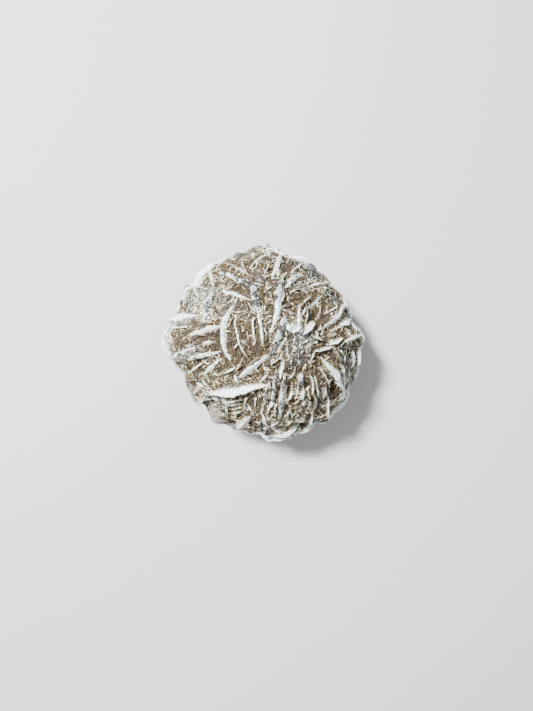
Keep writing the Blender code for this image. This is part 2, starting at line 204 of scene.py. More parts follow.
NORTH_CRYSTALS = [
    crystal((-52, 78), (-50, 52), 2.8, grey=0.3),
    crystal((-50, 52), (-65, 15), 6.5, (-57, 35), 8, speck=0.4, grey=0.5, widest=0.35),
    crystal((-68, 58), (-64, 43), 1.8),
    crystal((-48, 70), (-12, 55), 4.2, (-27, 64), -15, speck=0.6, grey=0.6),
    crystal((-11, 58), (-4, 26), 6.2, (-8, 42), speck=0.9, grey=0.8, widest=0.4),
    crystal((-6, 33), (-1, -5), 2.9, (-3, 14), widest=0.4),
    crystal((-42, 52), (-12, 42), 4, (-30, 50), speck=0.15, widest=0.38),
    crystal((-36, 57), (-30, 62), 1.0),
    crystal((-38, 80), (-15, 69), 3.4, (-26, 76), widest=0.7),
    crystal((-22, 83), (-19.5, 73), 1.4),
    crystal((-16.5, 73), (4, 87), 1.8, (-8, 80.5)),
    crystal((-13, 75), (12, 86), 1.4, (-2, 80)),
    crystal((6, 81), (0, 68), 1.3),
    crystal((19.5, 93), (7, 62), 4.2, (14, 78)),
    crystal((17, 93), (-2, 85), 2.0, (7, 91)),
    crystal((-14, 92), (-9, 84), 1.9),
    crystal((19, 87), (41, 82), 2.6, (31, 89)),
    crystal((21.5, 78), (27, 85), 1.0),
    crystal((16, 76), (13.5, 64), 1.2),
    crystal((39, 69), (20, 54), 4.2, (29, 63), speck=0.2, grey=0.2),
    crystal((17, 63), (12, 35), 8, (17, 51), speck=1.0, grey=1.0),
    crystal((14, 40), (6, 9), 6.2, (13, 28), speck=0.05, widest=0.15),
    crystal((16, 35), (33, 29), 1.0),
    crystal((5.5, 52), (8.5, 42), 1.0),
    crystal((1, 47), (6, 38), 0.9),
    crystal((0, 41), (1, 29), 0.9),
    crystal((-17, 42), (-7.5, 28.5), 1.0),
    crystal((0, 16), (4.5, 5), 1.1),
    crystal((35, 40), (36, 10), 4.2, (36, 22)),
    crystal((35, 55), (45, 49), 1.3),
    crystal((60, 48), (42, 31), 2.6, (52, 40.5)),
    crystal((47, 48), (38, 39), 1.6),
    crystal((43, 36), (37, 27), 1.2),
    crystal((45, 56), (65, 58), 2.8, (55, 59.5)),
    crystal((40, 57.5), (57, 63), 0.9),
    crystal((41, 61), (56, 66), 0.9),
    crystal((42, 81), (24, 68), 1.8, (36, 73)),
    crystal((59.5, 57), (59.5, 48), 1.1),
    crystal((59, 28), (75, 38), 1.6),
    crystal((66, 25), (73, 28.5), 1.1),
    crystal((84, 39), (57, 7), 6, (74, 26), speck=0.15, widest=0.25),
    crystal((66, 12), (80, 20), 1.6, speck=0.3),
    crystal((57, 63), (36, 76), 8.5, (46, 70), 34, speck=0.4, grey=0.6, worn=0.6, earthy=1.0),
    crystal((44, 34), (41, 15), 1.0),
    crystal((56, 38), (53, 23), 1.0, (56.5, 31)),
    crystal((52, 12), (60, 18), 1.9),
    crystal((74, 17), (91, 27), 8, (82, 23), worn=0.7),
    crystal((84, 25), (92, 9), 5.5, (89, 18), worn=1.0),
]

WEST_CRYSTALS = [
    crystal((-27.5, 43), (-33, -19), 5.2, (-41, 12), widest=0.52),
    crystal((-77, 7), (-41, 17), 6.0, (-60, 14), 14, worn=0.8),
    crystal((-96, 26), (-65, 28), 13, (-80, 27), 12, worn=1.0, widest=0.4),
    crystal((-94, 15), (-73, 16.5), 2.6),
    crystal((-47, 26), (-39, 24), 1.0),
    crystal((-94, -14), (-65, -2), 10, (-82, -9), 22, speck=0.35, grey=0.3, worn=1.0, widest=0.45),
    crystal((-76, -16), (-38, -8), 4.6, (-60, -12), speck=0.5, grey=0.7, widest=0.3),
    crystal((-80, -4), (-66, 0), 2.6, speck=1.0, grey=0.8),
    crystal((-63, -2), (-48, 1), 3.0, (-55, 1)),
    crystal((-76, -31), (-56, -15), 2.0, (-67, -26)),
    crystal((-82, -20), (-75.5, -31), 1.6),
    crystal((-61, -33), (-42, -14), 3.6, (-54, -25)),
    crystal((-42, -31), (-29, -25), 1.8),
    crystal((-28, -28), (-21, -14), 0.9),
    crystal((-31, -6), (-25, 0), 1.3),
    crystal((-96, -2), (-91, -9), 1.3),
    crystal((-101, 9), (-93, -10), 4.5, (-100, -1), worn=0.3),
    crystal((-83, 50), (-68, 56), 4.5, (-75, 56), 20, worn=0.8),
]

EAST_CRYSTALS = [
    crystal((-29, 25), (-15, -17), 1.5, (-26, 3)),
    crystal((-10, 27), (-8, -3), 1.8, (-11, 14)),
    crystal((-14, 33), (-6, 27), 1.1),
    crystal((22, 27), (2, -26), 7.4, (15.5, 3), speck=0.55, grey=0.35, widest=0.34),
    crystal((14, -8), (22.5, 5), 1.9),
    crystal((23, 3), (24, -14), 1.0),
    crystal((20, 18), (31, 12), 5.0, speck=0.15),
    crystal((26, 11), (38, 17), 5.0, (32, 13), speck=0.15),
    crystal((28, 21), (36, 12), 3.4),
    crystal((36, 7), (50, 23), 6.2, (43, 14), speck=0.4, grey=0.2),
    crystal((28, -2), (34, -7), 2.0),
    crystal((38, -1), (45, 4), 1.1),
    crystal((7, -10), (-26, -36), 6, (-9, -24), speck=0.1, widest=0.65),
    crystal((18, -13.5), (5, -23), 1.0),
    crystal((-2, -24), (6.5, -29), 1.2),
    crystal((20.5, -17), (16, -38), 3.8, speck=0.1),
    crystal((13.5, -28), (9.5, -48), 3.6, speck=0.6, grey=0.3),
    crystal((10, -47), (8, -60), 3.4, speck=1.0, grey=1.0),
    crystal((9.5, -56), (5, -65), 3.0, speck=0.1),
    crystal((21.5, -28), (16.5, -74), 6.2, (20, -52), speck=0.4, grey=0.55, widest=0.62),
    crystal((24, -37), (32, -29), 1.8),
    crystal((29.5, -48), (23.5, -58), 3.0),
    crystal((34, -28), (29, -60), 1.6, (35.5, -42)),
    crystal((48, 7), (60, 3), 2.6),
    crystal((63, -2), (79, 7), 3.2, (70, 2)),
    crystal((79, 1), (96, 8), 4.5, (88, 6), worn=0.5),
    crystal((48, -8), (72, -2), 3, (60, -6)),
    crystal((81, 2), (73, -6), 1.4),
    crystal((75, -6), (80, -12), 1.8),
    crystal((52, -7), (46.5, -20), 1.3),
    crystal((43, -14), (47, -10), 1.1),
    crystal((57, -14), (85, -52), 9, (74, -31), speck=0.15, widest=0.5),
    crystal((76, -20), (81, -43), 3.5, (79, -30)),
    crystal((56, -24), (64.5, -45), 1.6, (62, -34)),
    crystal((45, -31), (47.5, -54), 1.9, (49.5, -43)),
    crystal((49.5, -29), (55.5, -56), 1.8, (53.5, -42)),
    crystal((40, -44), (37.5, -57), 4, grey=0.1),
    crystal((44, -56), (38, -62), 1.6),
    crystal((47, -41), (42, -48), 1.2),
    crystal((63, -49), (60, -76), 4.2, (64, -62)),
    crystal((37, -29), (38, -44), 4.6, speck=1.0, grey=0.8),
    crystal((70, -62), (75.5, -59.5), 1.4),
    crystal((91, 20), (96, -12), 4, (101, 3), worn=0.7),
    crystal((94, -13), (90, -27), 3.5, (96, -19), worn=0.7),
]

SOUTH_CRYSTALS = [
    crystal((-56, -49), (4, -42), 8.2, (-30, -49.5), 5, speck=0.03, widest=0.45),
    crystal((5, -30), (-7, -43), 2.0, (0, -36)),
    crystal((-18, -52), (-20, -70), 1.6),
    crystal((-9, -53), (-8.5, -66), 1.1),
    crystal((-17, -61), (-10, -71), 1.4),
    crystal((0, -63), (-4, -72), 1.4),
    crystal((-2, -69), (5, -83), 3, worn=0.1),
    crystal((3, -83), (16, -77), 1.1),
    crystal((6, -37), (0, -66), 3.8, (4, -50), speck=0.4, grey=0.5),
    crystal((11, -57), (11.5, -76), 1.9),
    crystal((2, -71), (6, -63), 1.3),
    crystal((19, -75), (26, -67), 1.0),
    crystal((26, -66), (29.5, -76), 1.4),
    crystal((-37.5, -61), (-36, -74), 1.9, worn=0.2),
    crystal((-55, -65), (-36, -73), 1.3, (-45, -66), worn=0.5, earthy=0.2),
    crystal((-44, -57), (-22, -58.5), 1.0, worn=0.4),
    crystal((-42, -61.5), (-22, -62), 0.9, worn=0.4),
    crystal((-34, -66), (-21, -64), 0.9, worn=0.4),
    crystal((-35, -70), (-21, -68), 1.0, worn=0.4),
    crystal((-68, -37), (-59, -45), 1.4),
    crystal((-63, -34), (-55, -45), 1.1),
    crystal((-30, -32), (-25, -41), 2.0),
    crystal((-60, -45), (-50, -53), 1.9, speck=0.7, grey=0.5),
    crystal((-78, -55), (-61, -41), 5, (-70, -48), 25, worn=1.0, earthy=0.45),
    crystal((-76, -66), (-59, -54), 6.5, (-67, -59), worn=0.8, earthy=0.4),
    crystal((-11, -71), (-29, -80), 8, (-20, -76), -15, worn=1.0, widest=0.6, earthy=0.35),
    crystal((-52, -73), (-10, -89), 4, (-33, -83), worn=0.8, earthy=0.6),
    crystal((-10, -88), (8, -98), 4, worn=0.6),
    crystal((0, -92), (38, -77), 6, (20, -90), worn=0.2),
    crystal((10, -96.5), (42, -89), 3, (26, -95.5), worn=0.5),
    crystal((50, -70), (42, -86), 4, (47, -78)),
    crystal((70, -72), (48, -84), 3, (61, -81), worn=0.4),
    crystal((84, -50), (71, -70), 3, (78, -61), worn=0.5),
]

# Crystals round the sides: height of a ring of fans, fans in it, crystals in each, and how far
# they may turn from lying level, in radians. Those of the top ring are long and make the rim.
SIDE_RINGS = [(0.0205, 12, 3, 0.32), (0.0135, 12, 3, 1.1), (0.0062, 10, 3, 1.57)]
SIDE_SEED = 43
SIDE_LENGTH = (0.0055, 0.0115)
RIM_LENGTH = (0.0085, 0.0150)
SIDE_WIDTH = (0.0008, 0.0021)
FAN_START = (0.0004, 0.0022)
FAN_SPREAD = (0.30, 0.75)
ROW_SPACING = (0.0024, 0.0036)
RIM_SPACING = (0.0019, 0.0027)
ROW_SHARE = 0.5
ROW_TURN = 0.16
RING_JITTER = 0.0022
FAN_JITTER = 0.3
RIM_RADIUS = 0.03
BOW = 0.12
SIDE_LEAN = 28.0
SLIGHT_TURN = 0.5

# Their finish, as mean and spread: dark mineral, clear grey, and worn smooth.
SIDE_FINISH = (("speck", 0.0, 0.2), ("grey", 0.0, 0.2), ("worn", 0.55, 0.3))

# Smooth worn crystals that lie level round the widest part.
RIM_CRYSTALS = 30
RIM_SEED = 7
RIM_JITTER = 0.35
RIM_HEIGHT = (0.0145, 0.0190)
RIM_TURN = 0.2
RIM_WORN = (0.6, 1.0)

# Fills, the small crystals between the large ones: how many, seed, share of them kept on the
# top, then ranges of length, width and height.
SMALL_FILLS = (1100, 5, 0.28, (0.0019, 0.0046), (0.00026, 0.00046), (0.0006, 0.0013))
MEDIUM_FILLS = (330, 6, 0.12, (0.0034, 0.0078), (0.00040, 0.00080), (0.0009, 0.0019))
TOP_HEIGHT = 0.022
FILL_CREST = (0.12, 0.88)
FILL_IN_LINE = 0.65
FILL_TURN = 0.45
FILL_BOW = 0.2
FILL_LEAN = 35
FILL_SPECK = 0.2
FILL_GREY = 0.15

# Fills keep this far from the large crystals, tested at these places along each of them.
CLEAR_BESIDE = 0.0005
AXIS_SHARES = [k / 12 for k in range(13)]

# How far each kind of crystal takes on the tone of the sand patches round it: partly a stain, partly
# painted light and painted shade.
TOP_STAIN_AND_PAINTED_LIGHT = 0.15
SIDE_STAIN_AND_PAINTED_LIGHT = 0.95
FILL_STAIN_AND_PAINTED_LIGHT = 0.6

# Laths, thin slivers that lie over the sand. They are fewer in bare patches, where the sand is
# grey, and low down. Then those that lie against the crystals.
LATHS = 26000
LATH_SEED = 9
LATH_LENGTH = (0.0009, 0.0025)
LATH_WIDTH = (0.00020, 0.00038)
LATH_THICKNESS = 0.3
LATH_BEND = 0.1
LATH_RISE = 0.25
LATH_LIFT = 0.0006
BARE_SPACING = 0.0042
BARE_LEVEL = 0.4
BARE_GAIN = 2.0
BARE_SHARE = 0.35
BARE_ASH = 0.75
BARE_BELOW = 0.6
LATHS_BESIDE = 4000
BESIDE_PROUD = (0.1, 0.6)

# Where a thing scattered on a crystal may lie: how far along it, and, against its flank, how far
# out in half widths, how far down in heights, and how far it faces sideways.
ALONG_CRYSTAL = (0.04, 0.96)
BESIDE_FLANK = (0.95, 1.25)
DOWN_FLANK = (0.25, 0.9)
FLANK_TILT = 0.7

# Sand grains on the sand, crumbs on the crystals' edges, and dark grains on the crystals that
# carry them and in the grey crusts. The sides are shares of a crystal's half width.
CORNER_SIZE = (0.35, 0.65)
GRAINS = 17000
GRAIN_SEED = 13
GRAIN_SIZE = (0.00016, 0.00042)
GRAIN_OUT = 0.3
CRUMBS = 5500
CRUMB_SIZE = (0.00014, 0.00034)
CRUMB_SIDES = (0.5, 1.0)
CRUMB_PROUD = (0.1, 0.7)
DARK_GRAINS = 4200
DARK_SEED = 17
DARK_CARRIER = 0.33
DARK_SIDES = (0.0, 0.95)
DARK_SIZE = (0.00022, 0.00060)
DARK_OUT = 0.4
CLUSTER_SPACING = 0.0022
CRUST_GRAINS = 8000
CRUST_GREY = 0.3
CLEAR_OF_GROUND = 0.0003

CORE_CENTRE = Vector((0, 0, WIDEST_HEIGHT))
TINY = 1e-6

# How the surface is coloured by height: 0 is brown, 1 is white. First the sand, with its crusts;
# painted shade that darkens its hollows and the low spots of its small lumps, and painted light on
# the tops of those lumps; and painted light that lightens the stone's sides, which lie in shade, and
# its skirt, the lowest part of them.
GROUND_PROUD = -0.13
BUMP_PAINTED_SHADE_DEPTH = 0.0011
HOLLOW_PAINTED_SHADE_DEPTH = 0.0030
CRUST_PALE = 0.35
SIDE_PAINTED_LIGHT = 0.55
SIDE_TOP = 0.033
SIDE_FADE = 0.014
SKIRT_PAINTED_LIGHT = 0.2
SKIRT_TOP = 0.024
SKIRT_FADE = 0.008

# Then the laths, painted lighter the higher they lie and darker where they lie low, as painted light
# and painted shade; the grains; and the crystals, which fade from their crest down.
LATH_PROUD = -0.44
LATH_RAISED = 0.8
LATH_EARTHIER = 0.4
LATH_LIFT_PAINTED_LIGHT = 0.45
GRAIN_PROUD = 0.10
CREST_PROUD = 1.2
SLIM_DULL = 0.45
BROAD = 0.0015
TIP_PROUD = 0.35
BASE_FADE = 1.05
FADE_POWER = 1.4
LEAST_HEIGHT = 0.0005
HIDDEN_WORN = 0.25

# In the finishes: the size of patches of height; the noise over which a film of no amount shows,
# and how much lower that is for a full one; how ashy patches of the sand are; and how far worn
# flanks reach up towards the crest.
PATCH_SPACING = 0.0013
FILM_LEVEL = 0.72
FILM_DROP = 0.44
MOST_ASH = 0.7
WORN_REACH = 0.35

DEEP_BROWN = (0.032, 0.020, 0.009, 1)
EARTH_BROWN = (0.048, 0.032, 0.013, 1)
UMBER = (0.085, 0.064, 0.047, 1)
TAN = (0.068, 0.043, 0.014, 1)
SAND_FILM = (0.21, 0.172, 0.11, 1)
CREAM = (0.200, 0.153, 0.070, 1)
PALE_STRAW = (0.82, 0.76, 0.53, 1)
DRY_SAND = (0.50, 0.455, 0.35, 1)
WHITE = (0.80, 0.955, 0.985, 1)
IVORY = (0.90, 0.86, 0.72, 1)
PINKISH_BEIGE = (0.34, 0.285, 0.255, 1)
DULL_GYPSUM = (0.30, 0.32, 0.325, 1)
BLUE_GREY = (0.130, 0.160, 0.180, 1)
ASH_GREY = (0.28, 0.28, 0.26, 1)
DARK_MINERAL = (0.011, 0.012, 0.015, 1)
SLATE = (0.050, 0.049, 0.048, 1)
DULL_SLATE = (0.13, 0.13, 0.12, 1)

FLOOR_HALF = 6.0
FLOOR_COLOUR = (0.42, 0.41, 0.39, 1)
FLOOR_ROUGHNESS = 0.9
LIGHT_PLACE = (-0.215, 0.175, 0.460)
LIGHT_SIZE = 0.09
LIGHT_POWER = 16.0
SKY_COLOUR = (0.96, 0.98, 1.0, 1)
SKY_STRENGTH = 1.0
SENSOR_WIDTH = 36.0
NEAR_CLIP = 0.01


# --- The shape of the lump -------------------------------------------------------------------


def outline_radius(angle):
    """Radius of the stone's edge in plan, in metres, on a smooth curve through OUTLINE."""
    degrees = math.degrees(angle) % 360
    after = next((k for k, (edge, _) in enumerate(OUTLINE) if edge > degrees), 0)
    angle_a, radius_a = OUTLINE[after - 1]
    angle_b, radius_b = OUTLINE[after]
    share = ((degrees - angle_a) % 360) / ((angle_b - angle_a) % 360)
    eased = share * share * (3 - 2 * share)
    return (radius_a + (radius_b - radius_a) * eased) * PLAN_STEP


def dome_ratio(offset):
    """How far out an offset from the core's centre lies: 1 on the smooth dome, less inside it."""
    around = math.hypot(offset.x, offset.y) / (
        outline_radius(math.atan2(offset.y, offset.x)) - SANDY_INSET
    )
    along = abs(offset.z) / (DOME_RISE if offset.z > 0 else BOWL_DROP)
    return (around**FULLNESS + along**FULLNESS) ** (1 / FULLNESS)


def smooth_settle(point):
    """The point, moved along its ray from the core's centre on to the smooth dome."""
    offset = point - CORE_CENTRE
    return CORE_CENTRE + offset / dome_ratio(offset)


def plan_point(x, y):
    """A point of the plan as a place in space."""
    return Vector((x * PLAN_STEP, y * PLAN_STEP, PLAN_HEIGHT))


def cast_down(x, y, surface, lift=0.0):
    """Where the line of sight through a plan point comes within lift of a surface function."""
    eye = Vector((0, 0, EYE_HEIGHT))
    target = plan_point(x, y)
    near, far = 0.0, 1.0
    for _ in range(SIGHT_HALVINGS):
        middle = (near + far) / 2
        point = eye.lerp(target, middle)
        if (point - CORE_CENTRE).length > (surface(point) - CORE_CENTRE).length + lift:
            near = middle
        else:
            far = middle
    return eye.lerp(target, far)


def dome_place(x, y):
    """The place on the smooth dome that lies under a plan point."""
    return smooth_settle(cast_down(x, y, smooth_settle))


HOLLOW_PLACES = [
    (dome_place(x, y), radius * PLAN_STEP, depth * PLAN_STEP) for x, y, radius, depth in HOLLOWS
]
CRUST_PLACES = [
    (dome_place(x, y), radius * PLAN_STEP, pale, grey) for x, y, radius, pale, grey in CRUSTS
]
SAND_TONE_AND_PAINTED_LIGHT_PLACES = [
    (dome_place(x, y), radius * PLAN_STEP, paler) for x, y, radius, paler in SAND_TONE_AND_PAINTED_LIGHT
]


def clamped(value):
    """The value, kept between 0 and 1."""
    return min(1.0, max(0.0, value))


def fading(point, centre, radius, reach):
    """1 at a patch's centre, fading to 0 about two radii out, and 0 past its reach in radii."""
    distance = (point - centre).length / radius
    return math.exp(-distance * distance) if distance < reach else 0.0


def sunk(point):
    """How deep the hollows are at a point on the dome, in metres."""
    depths = 0.0
    for centre, radius, depth in HOLLOW_PLACES:
        depths += depth * fading(point, centre, radius, HOLLOW_REACH)
    return depths


def tone_and_painted_light_at(point):
    """How much paler the sand is painted at a point on the dome, below 0 where it is darker: partly
    its own tone, partly painted light and painted shade.
    """
    paler = 0.0
    for centre, radius, change in SAND_TONE_AND_PAINTED_LIGHT_PLACES:
        paler += change * fading(point, centre, radius, PATCH_REACH)
    return paler


def crusted(point):
    """How pale and how grey the mineral crust is at a point, each from 0 to 1."""
    place = point / CRUST_SPACING
    most_pale = clamped((noise.noise(place) - PALE_FROM) * CRUST_GAIN)
    most_grey = clamped((noise.noise(place + CRUST_SHIFT) - GREY_FROM) * CRUST_GAIN)
    for centre, radius, pale, grey in CRUST_PLACES:
        strength = fading(point, centre, radius, PATCH_REACH)
        most_pale = max(most_pale, pale * strength)
        most_grey = max(most_grey, grey * strength)
    return most_pale, most_grey


def relief(point):
    """Height of the uneven sandy surface over the smooth dome at a point on the dome."""
    lumps = LUMP_HEIGHT * noise.noise(point / LUMP_SPACING)
    lumps += LUMP_HEIGHT / 2 * noise.noise(point / LUMP_SPACING * FINER)
    return lumps - sunk(point)


def settle(point, lift=0.0):
    """The point, moved along its ray from the core's centre to lift above the sandy surface."""
    on_dome = smooth_settle(point)
    ray = on_dome - CORE_CENTRE
    return CORE_CENTRE + ray.normalized() * (ray.length + relief(on_dome) + lift)


# --- Where the crystals lie ------------------------------------------------------------------


def proud_height(width):
    """How far a crystal of this width stands out of the sand at its middle."""
    return PROUD_BASE + PROUD_PER_WIDTH * width


def straightened(start, middle, end):
    """The middle point of a crystal, moved so that it is only slightly bowed along the surface."""
    outward = (middle - CORE_CENTRE).normalized()
    bow = middle - (start + end) / 2
    bow -= outward * bow.dot(outward)
    most = MOST_BOW * (end - start).length
    return middle - bow * max(0.0, 1 - most / max(bow.length, most))


def plan_crystal(entry):
    """A crystal of the plan, as points in space."""
    width = entry["width"] * PLAN_STEP
    tall = proud_height(width)
    lifts = {"start": 0, "middle": tall, "end": 0}
    points = [settle(cast_down(*entry[name], settle, lift), lift) for name, lift in lifts.items()]
    points[1] = straightened(*points)
    return {
        "points": points, "width": width, "tall": tall, "lean": math.radians(entry["lean"]),
        "speck": entry["speck"], "grey": entry["grey"], "worn": entry["worn"],
        "widest": entry["widest"], "earthy": entry["earthy"],
    }


def axes_towards(centre, heading):
    """Along a heading and across it, laid flat on the stone's side at a point.

    A heading of 0 is level, and a quarter turn is straight up.
    """
    outward = (centre - CORE_CENTRE).normalized()
    east = Vector((0, 0, 1)).cross(outward).normalized()
    north = outward.cross(east)
    along = east * math.cos(heading) + north * math.sin(heading)
    return along, outward.cross(along)


def side_crystal(rng, centre, heading, length):
    """A crystal that lies on the stone's side, from a point towards a heading."""
    along, across = axes_towards(centre, heading)
    bow = across * length * rng.uniform(-BOW, BOW)
    points = [centre, centre + along * length / 2 + bow, centre + along * length]
    lean = math.radians(rng.uniform(-SIDE_LEAN, SIDE_LEAN))
    width = rng.uniform(*SIDE_WIDTH)
    return {"points": points, "width": width, "tall": proud_height(width), "lean": lean}


def side_fan(rng, centre, count, turn_limit):
    """Crystals that spread from one place, or lie in a row beside each other."""
    is_rim = turn_limit < SLIGHT_TURN
    heading = rng.choice((0, math.pi)) + rng.uniform(-turn_limit, turn_limit)
    in_row = rng.random() < ROW_SHARE or is_rim
    fan = []
    for number in range(count):
        from_middle = number - (count - 1) / 2
        length = rng.uniform(*(RIM_LENGTH if is_rim else SIDE_LENGTH))
        if in_row:
            turn = heading + rng.uniform(-ROW_TURN, ROW_TURN)
            sideways = from_middle * rng.uniform(*(RIM_SPACING if is_rim else ROW_SPACING))
            back = -length / 2 + rng.uniform(*FAN_START)
        else:
            turn = heading + from_middle * rng.uniform(*FAN_SPREAD) * 2
            sideways = 0.0
            back = rng.uniform(*FAN_START)
        along, across = axes_towards(centre, turn)
        fan.append(side_crystal(rng, centre + along * back + across * sideways, turn, length))
    return fan


def rim_place(angle, height):
    """The place on the smooth dome that a point out at this angle and height settles on."""
    return smooth_settle(
        Vector((math.cos(angle) * RIM_RADIUS, math.sin(angle) * RIM_RADIUS, height))
    )


def side_crystals():
    """The crystals round the stone's sides, from the rim down."""
    rng = random.Random(SIDE_SEED)
    found = []
    for height, fans, count, turn_limit in SIDE_RINGS:
        for number in range(fans):
            angle = 2 * math.pi * (number + rng.uniform(-FAN_JITTER, FAN_JITTER)) / fans
            level = height + rng.uniform(-RING_JITTER, RING_JITTER)
            found += side_fan(rng, rim_place(angle, level), count, turn_limit)
    tint = random.Random(SIDE_SEED + 1)
    for body in found:
        for name, mean, deviation in SIDE_FINISH:
            body[name] = clamped(tint.gauss(mean, deviation))
    return found


def rim_crystals():
    """Smooth worn crystals that lie level round the stone's widest part."""
    rng = random.Random(RIM_SEED)
    found = []
    for number in range(RIM_CRYSTALS):
        angle = 2 * math.pi * (number + rng.uniform(-RIM_JITTER, RIM_JITTER)) / RIM_CRYSTALS
        centre = rim_place(angle, rng.uniform(*RIM_HEIGHT))
        heading = rng.choice((0, math.pi)) + rng.uniform(-RIM_TURN, RIM_TURN)
        body = side_crystal(rng, centre, heading, rng.uniform(*RIM_LENGTH))
        body.update(speck=0.0, grey=0.0, worn=rng.uniform(*RIM_WORN))
        found.append(body)
    return found


def plan_crystals():
    """The crystals of the plan: those seen from above."""
    listed = NORTH_CRYSTALS + WEST_CRYSTALS + EAST_CRYSTALS + SOUTH_CRYSTALS
    return [plan_crystal(entry) for entry in listed]


def length_of(body):
    """How long a crystal is, from tip to tip."""
    return (body["points"][2] - body["points"][0]).length


def arch(share):
    """0 at a crystal's tips and 1 at its middle."""
    return 4 * share * (1 - share)


def crystal_curve(body, share):
    """The curve through the crystal's three points, share of the way along it."""
    start, middle, end = body["points"]
    return (
        start * (2 * (share - 0.5) * (share - 1))
        + middle * arch(share)
        + end * (2 * share * (share - 0.5))
    )


def fullness(body, share):
    """0 at a crystal's tips and 1 at its widest place, share of the way along it."""
    return arch(share ** (math.log(0.5) / math.log(body.get("widest", 0.5))))


def height_here(body, share):
    """How far the crystal stands out of the sand, share of the way along it."""
    return body["tall"] * fullness(body, share) ** LIFT_POWER


def spread(body, share):
    """Half the crystal's width here: a lens with long thin tails and blunt tips."""
    tail = min(TAIL_WIDTH, TAIL_SHARE * body["width"])
    blunt = min(1.0, share / BLUNT_SHARE, (1 - share) / BLUNT_SHARE) ** 0.5
    return blunt * (tail + (body["width"] - tail) * fullness(body, share) ** LENS_POWER) / 2


def blade_frame(body, share):
    """Crest point, way up the blade and way across it, at a share of its length."""
    lift = height_here(body, share) - TIP_DIP * (1 - arch(share))
    crest = settle(crystal_curve(body, share), lift)
    ahead = smooth_settle(crystal_curve(body, share + TANGENT_STEP))
    along = (ahead - smooth_settle(crystal_curve(body, share - TANGENT_STEP))).normalized()
    outward = (crest - CORE_CENTRE).normalized()
    upright = (outward - along * outward.dot(along)).normalized()
    left = upright.cross(along)
    rise = upright * math.cos(body["lean"]) + left * math.sin(body["lean"])
    return crest, rise, rise.cross(along)


# --- Building meshes -------------------------------------------------------------------------


VALUE_NAMES = ("proud", "edge", "tone", "speck", "grey", "worn")


class Piece:
    """Points, faces and per-point values of one mesh, gathered body by body."""

    def __init__(self, name):
        self.name = name
        self.points = []
        self.faces = []
        self.values = {name: [] for name in VALUE_NAMES}

    def add(self, points, faces, **values):
        """Add one closed body; each value is one number, or a list with one for each point."""
        first = len(self.points)
        self.points += [(point.x, point.y, max(point.z, 0.0)) for point in points]
        self.faces += [tuple(first + k for k in face) for face in faces]
        for name in VALUE_NAMES:
            value = values.get(name, 0.0)
            self.values[name] += value if isinstance(value, list) else [value] * len(points)

    def finish(self, material, smooth=False):
        """The piece as an object of the stone."""
        data = bpy.data.meshes.new(self.name)
        data.from_pydata(self.points, [], self.faces)
        for name, values in self.values.items():
            data.attributes.new(name, "FLOAT", "POINT").data.foreach_set("value", values)
        turn_outwards(data)
        if smooth:
            data.shade_smooth()
        data.materials.append(material)
        made = bpy.data.objects.new(self.name, data)
        bpy.context.scene.collection.objects.link(made)
        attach(made, "root")
        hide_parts("sand_rose")
        return made


def turn_outwards(data):
    """Turn every face of the mesh outwards."""
    mesh = bmesh.new()
    mesh.from_mesh(data)
    bmesh.ops.recalc_face_normals(mesh, faces=mesh.faces)
    mesh.to_mesh(data)
    mesh.free()


@functools.lru_cache(maxsize=None)
def spindle_faces(rings, around):
    """Faces of a closed spindle: rings of points, then its two tips."""
    faces = []
    for ring in range(rings - 1):
        for k in range(around):
            after = (k + 1) % around
            low, high = ring * around, (ring + 1) * around
            faces.append((low + k, low + after, high + after, high + k))
    first_tip, last_tip = rings * around, rings * around + 1
    for k in range(around):
        after = (k + 1) % around
        faces.append((first_tip, after, k))
        faces.append((last_tip, (rings - 1) * around + k, (rings - 1) * around + after))
    return faces


# --- The sandy surface -----------------------------------------------------------------------


def fine_relief(point):
    """Height of the small lumps of the sandy surface."""
    return sum(height * noise.noise(point / spacing) for spacing, height in FINE_RELIEF)


def round_side(spot):
    """How far round the stone's side a spot lies: 0 on its top, 1 well below."""
    return clamped((SIDE_TOP - spot.z) / SIDE_FADE)


def down_skirt(spot):
    """How far down the stone's skirt a spot lies: 0 above it, 1 well below its top."""
    return clamped((SKIRT_TOP - spot.z) / SKIRT_FADE)


def ground_values(spot):
    """How proud and how grey the sand is at a spot: crusts, tone patches with painted light and
    shade, painted light on the sides and skirt, painted shade in hollows.
    """
    on_dome = smooth_settle(spot)
    pale, grey = crusted(on_dome)
    paler = tone_and_painted_light_at(on_dome)
    # The sides and skirt are painted paler: painted light where they lie in shade.
    raised = CRUST_PALE * pale + SIDE_PAINTED_LIGHT * round_side(on_dome)
    raised += SKIRT_PAINTED_LIGHT * down_skirt(on_dome)
    # The patches add their tone, which is partly painted light and painted shade.
    raised += paler
    # Hollows are painted darker: painted shade.
    return raised - sunk(on_dome) / HOLLOW_PAINTED_SHADE_DEPTH, max(0.0, grey + min(0.0, paler))


def sandy_matrix(material):
    """The sandy surface that the crystals grow from: a cube's grid, rounded on to the lump."""
    mesh = bmesh.new()
    bmesh.ops.create_cube(mesh, size=2.0)
    bmesh.ops.subdivide_edges(mesh, edges=mesh.edges, cuts=MATRIX_CUTS, use_grid_fill=True)
    mesh.verts.index_update()
    points, proud, greys = [], [], []
    for vertex in mesh.verts:
        even = Vector([math.tan(value * math.pi / 4) for value in vertex.co])
        ground = settle(CORE_CENTRE + even)
        bump = fine_relief(ground) - MATRIX_SINK
        raised, grey = ground_values(ground)
        points.append(ground + (ground - CORE_CENTRE).normalized() * bump)
        # Low spots of the small lumps are painted darker and their tops lighter: painted shade and
        # painted light.
        proud.append(GROUND_PROUD + bump / BUMP_PAINTED_SHADE_DEPTH + raised)
        greys.append(grey)
    piece = Piece("sandy_matrix")
    faces = [[vertex.index for vertex in face.verts] for face in mesh.faces]
    piece.add(points, faces, proud=proud, tone=0.5, grey=greys)
    mesh.free()
    return piece.finish(material, smooth=True)


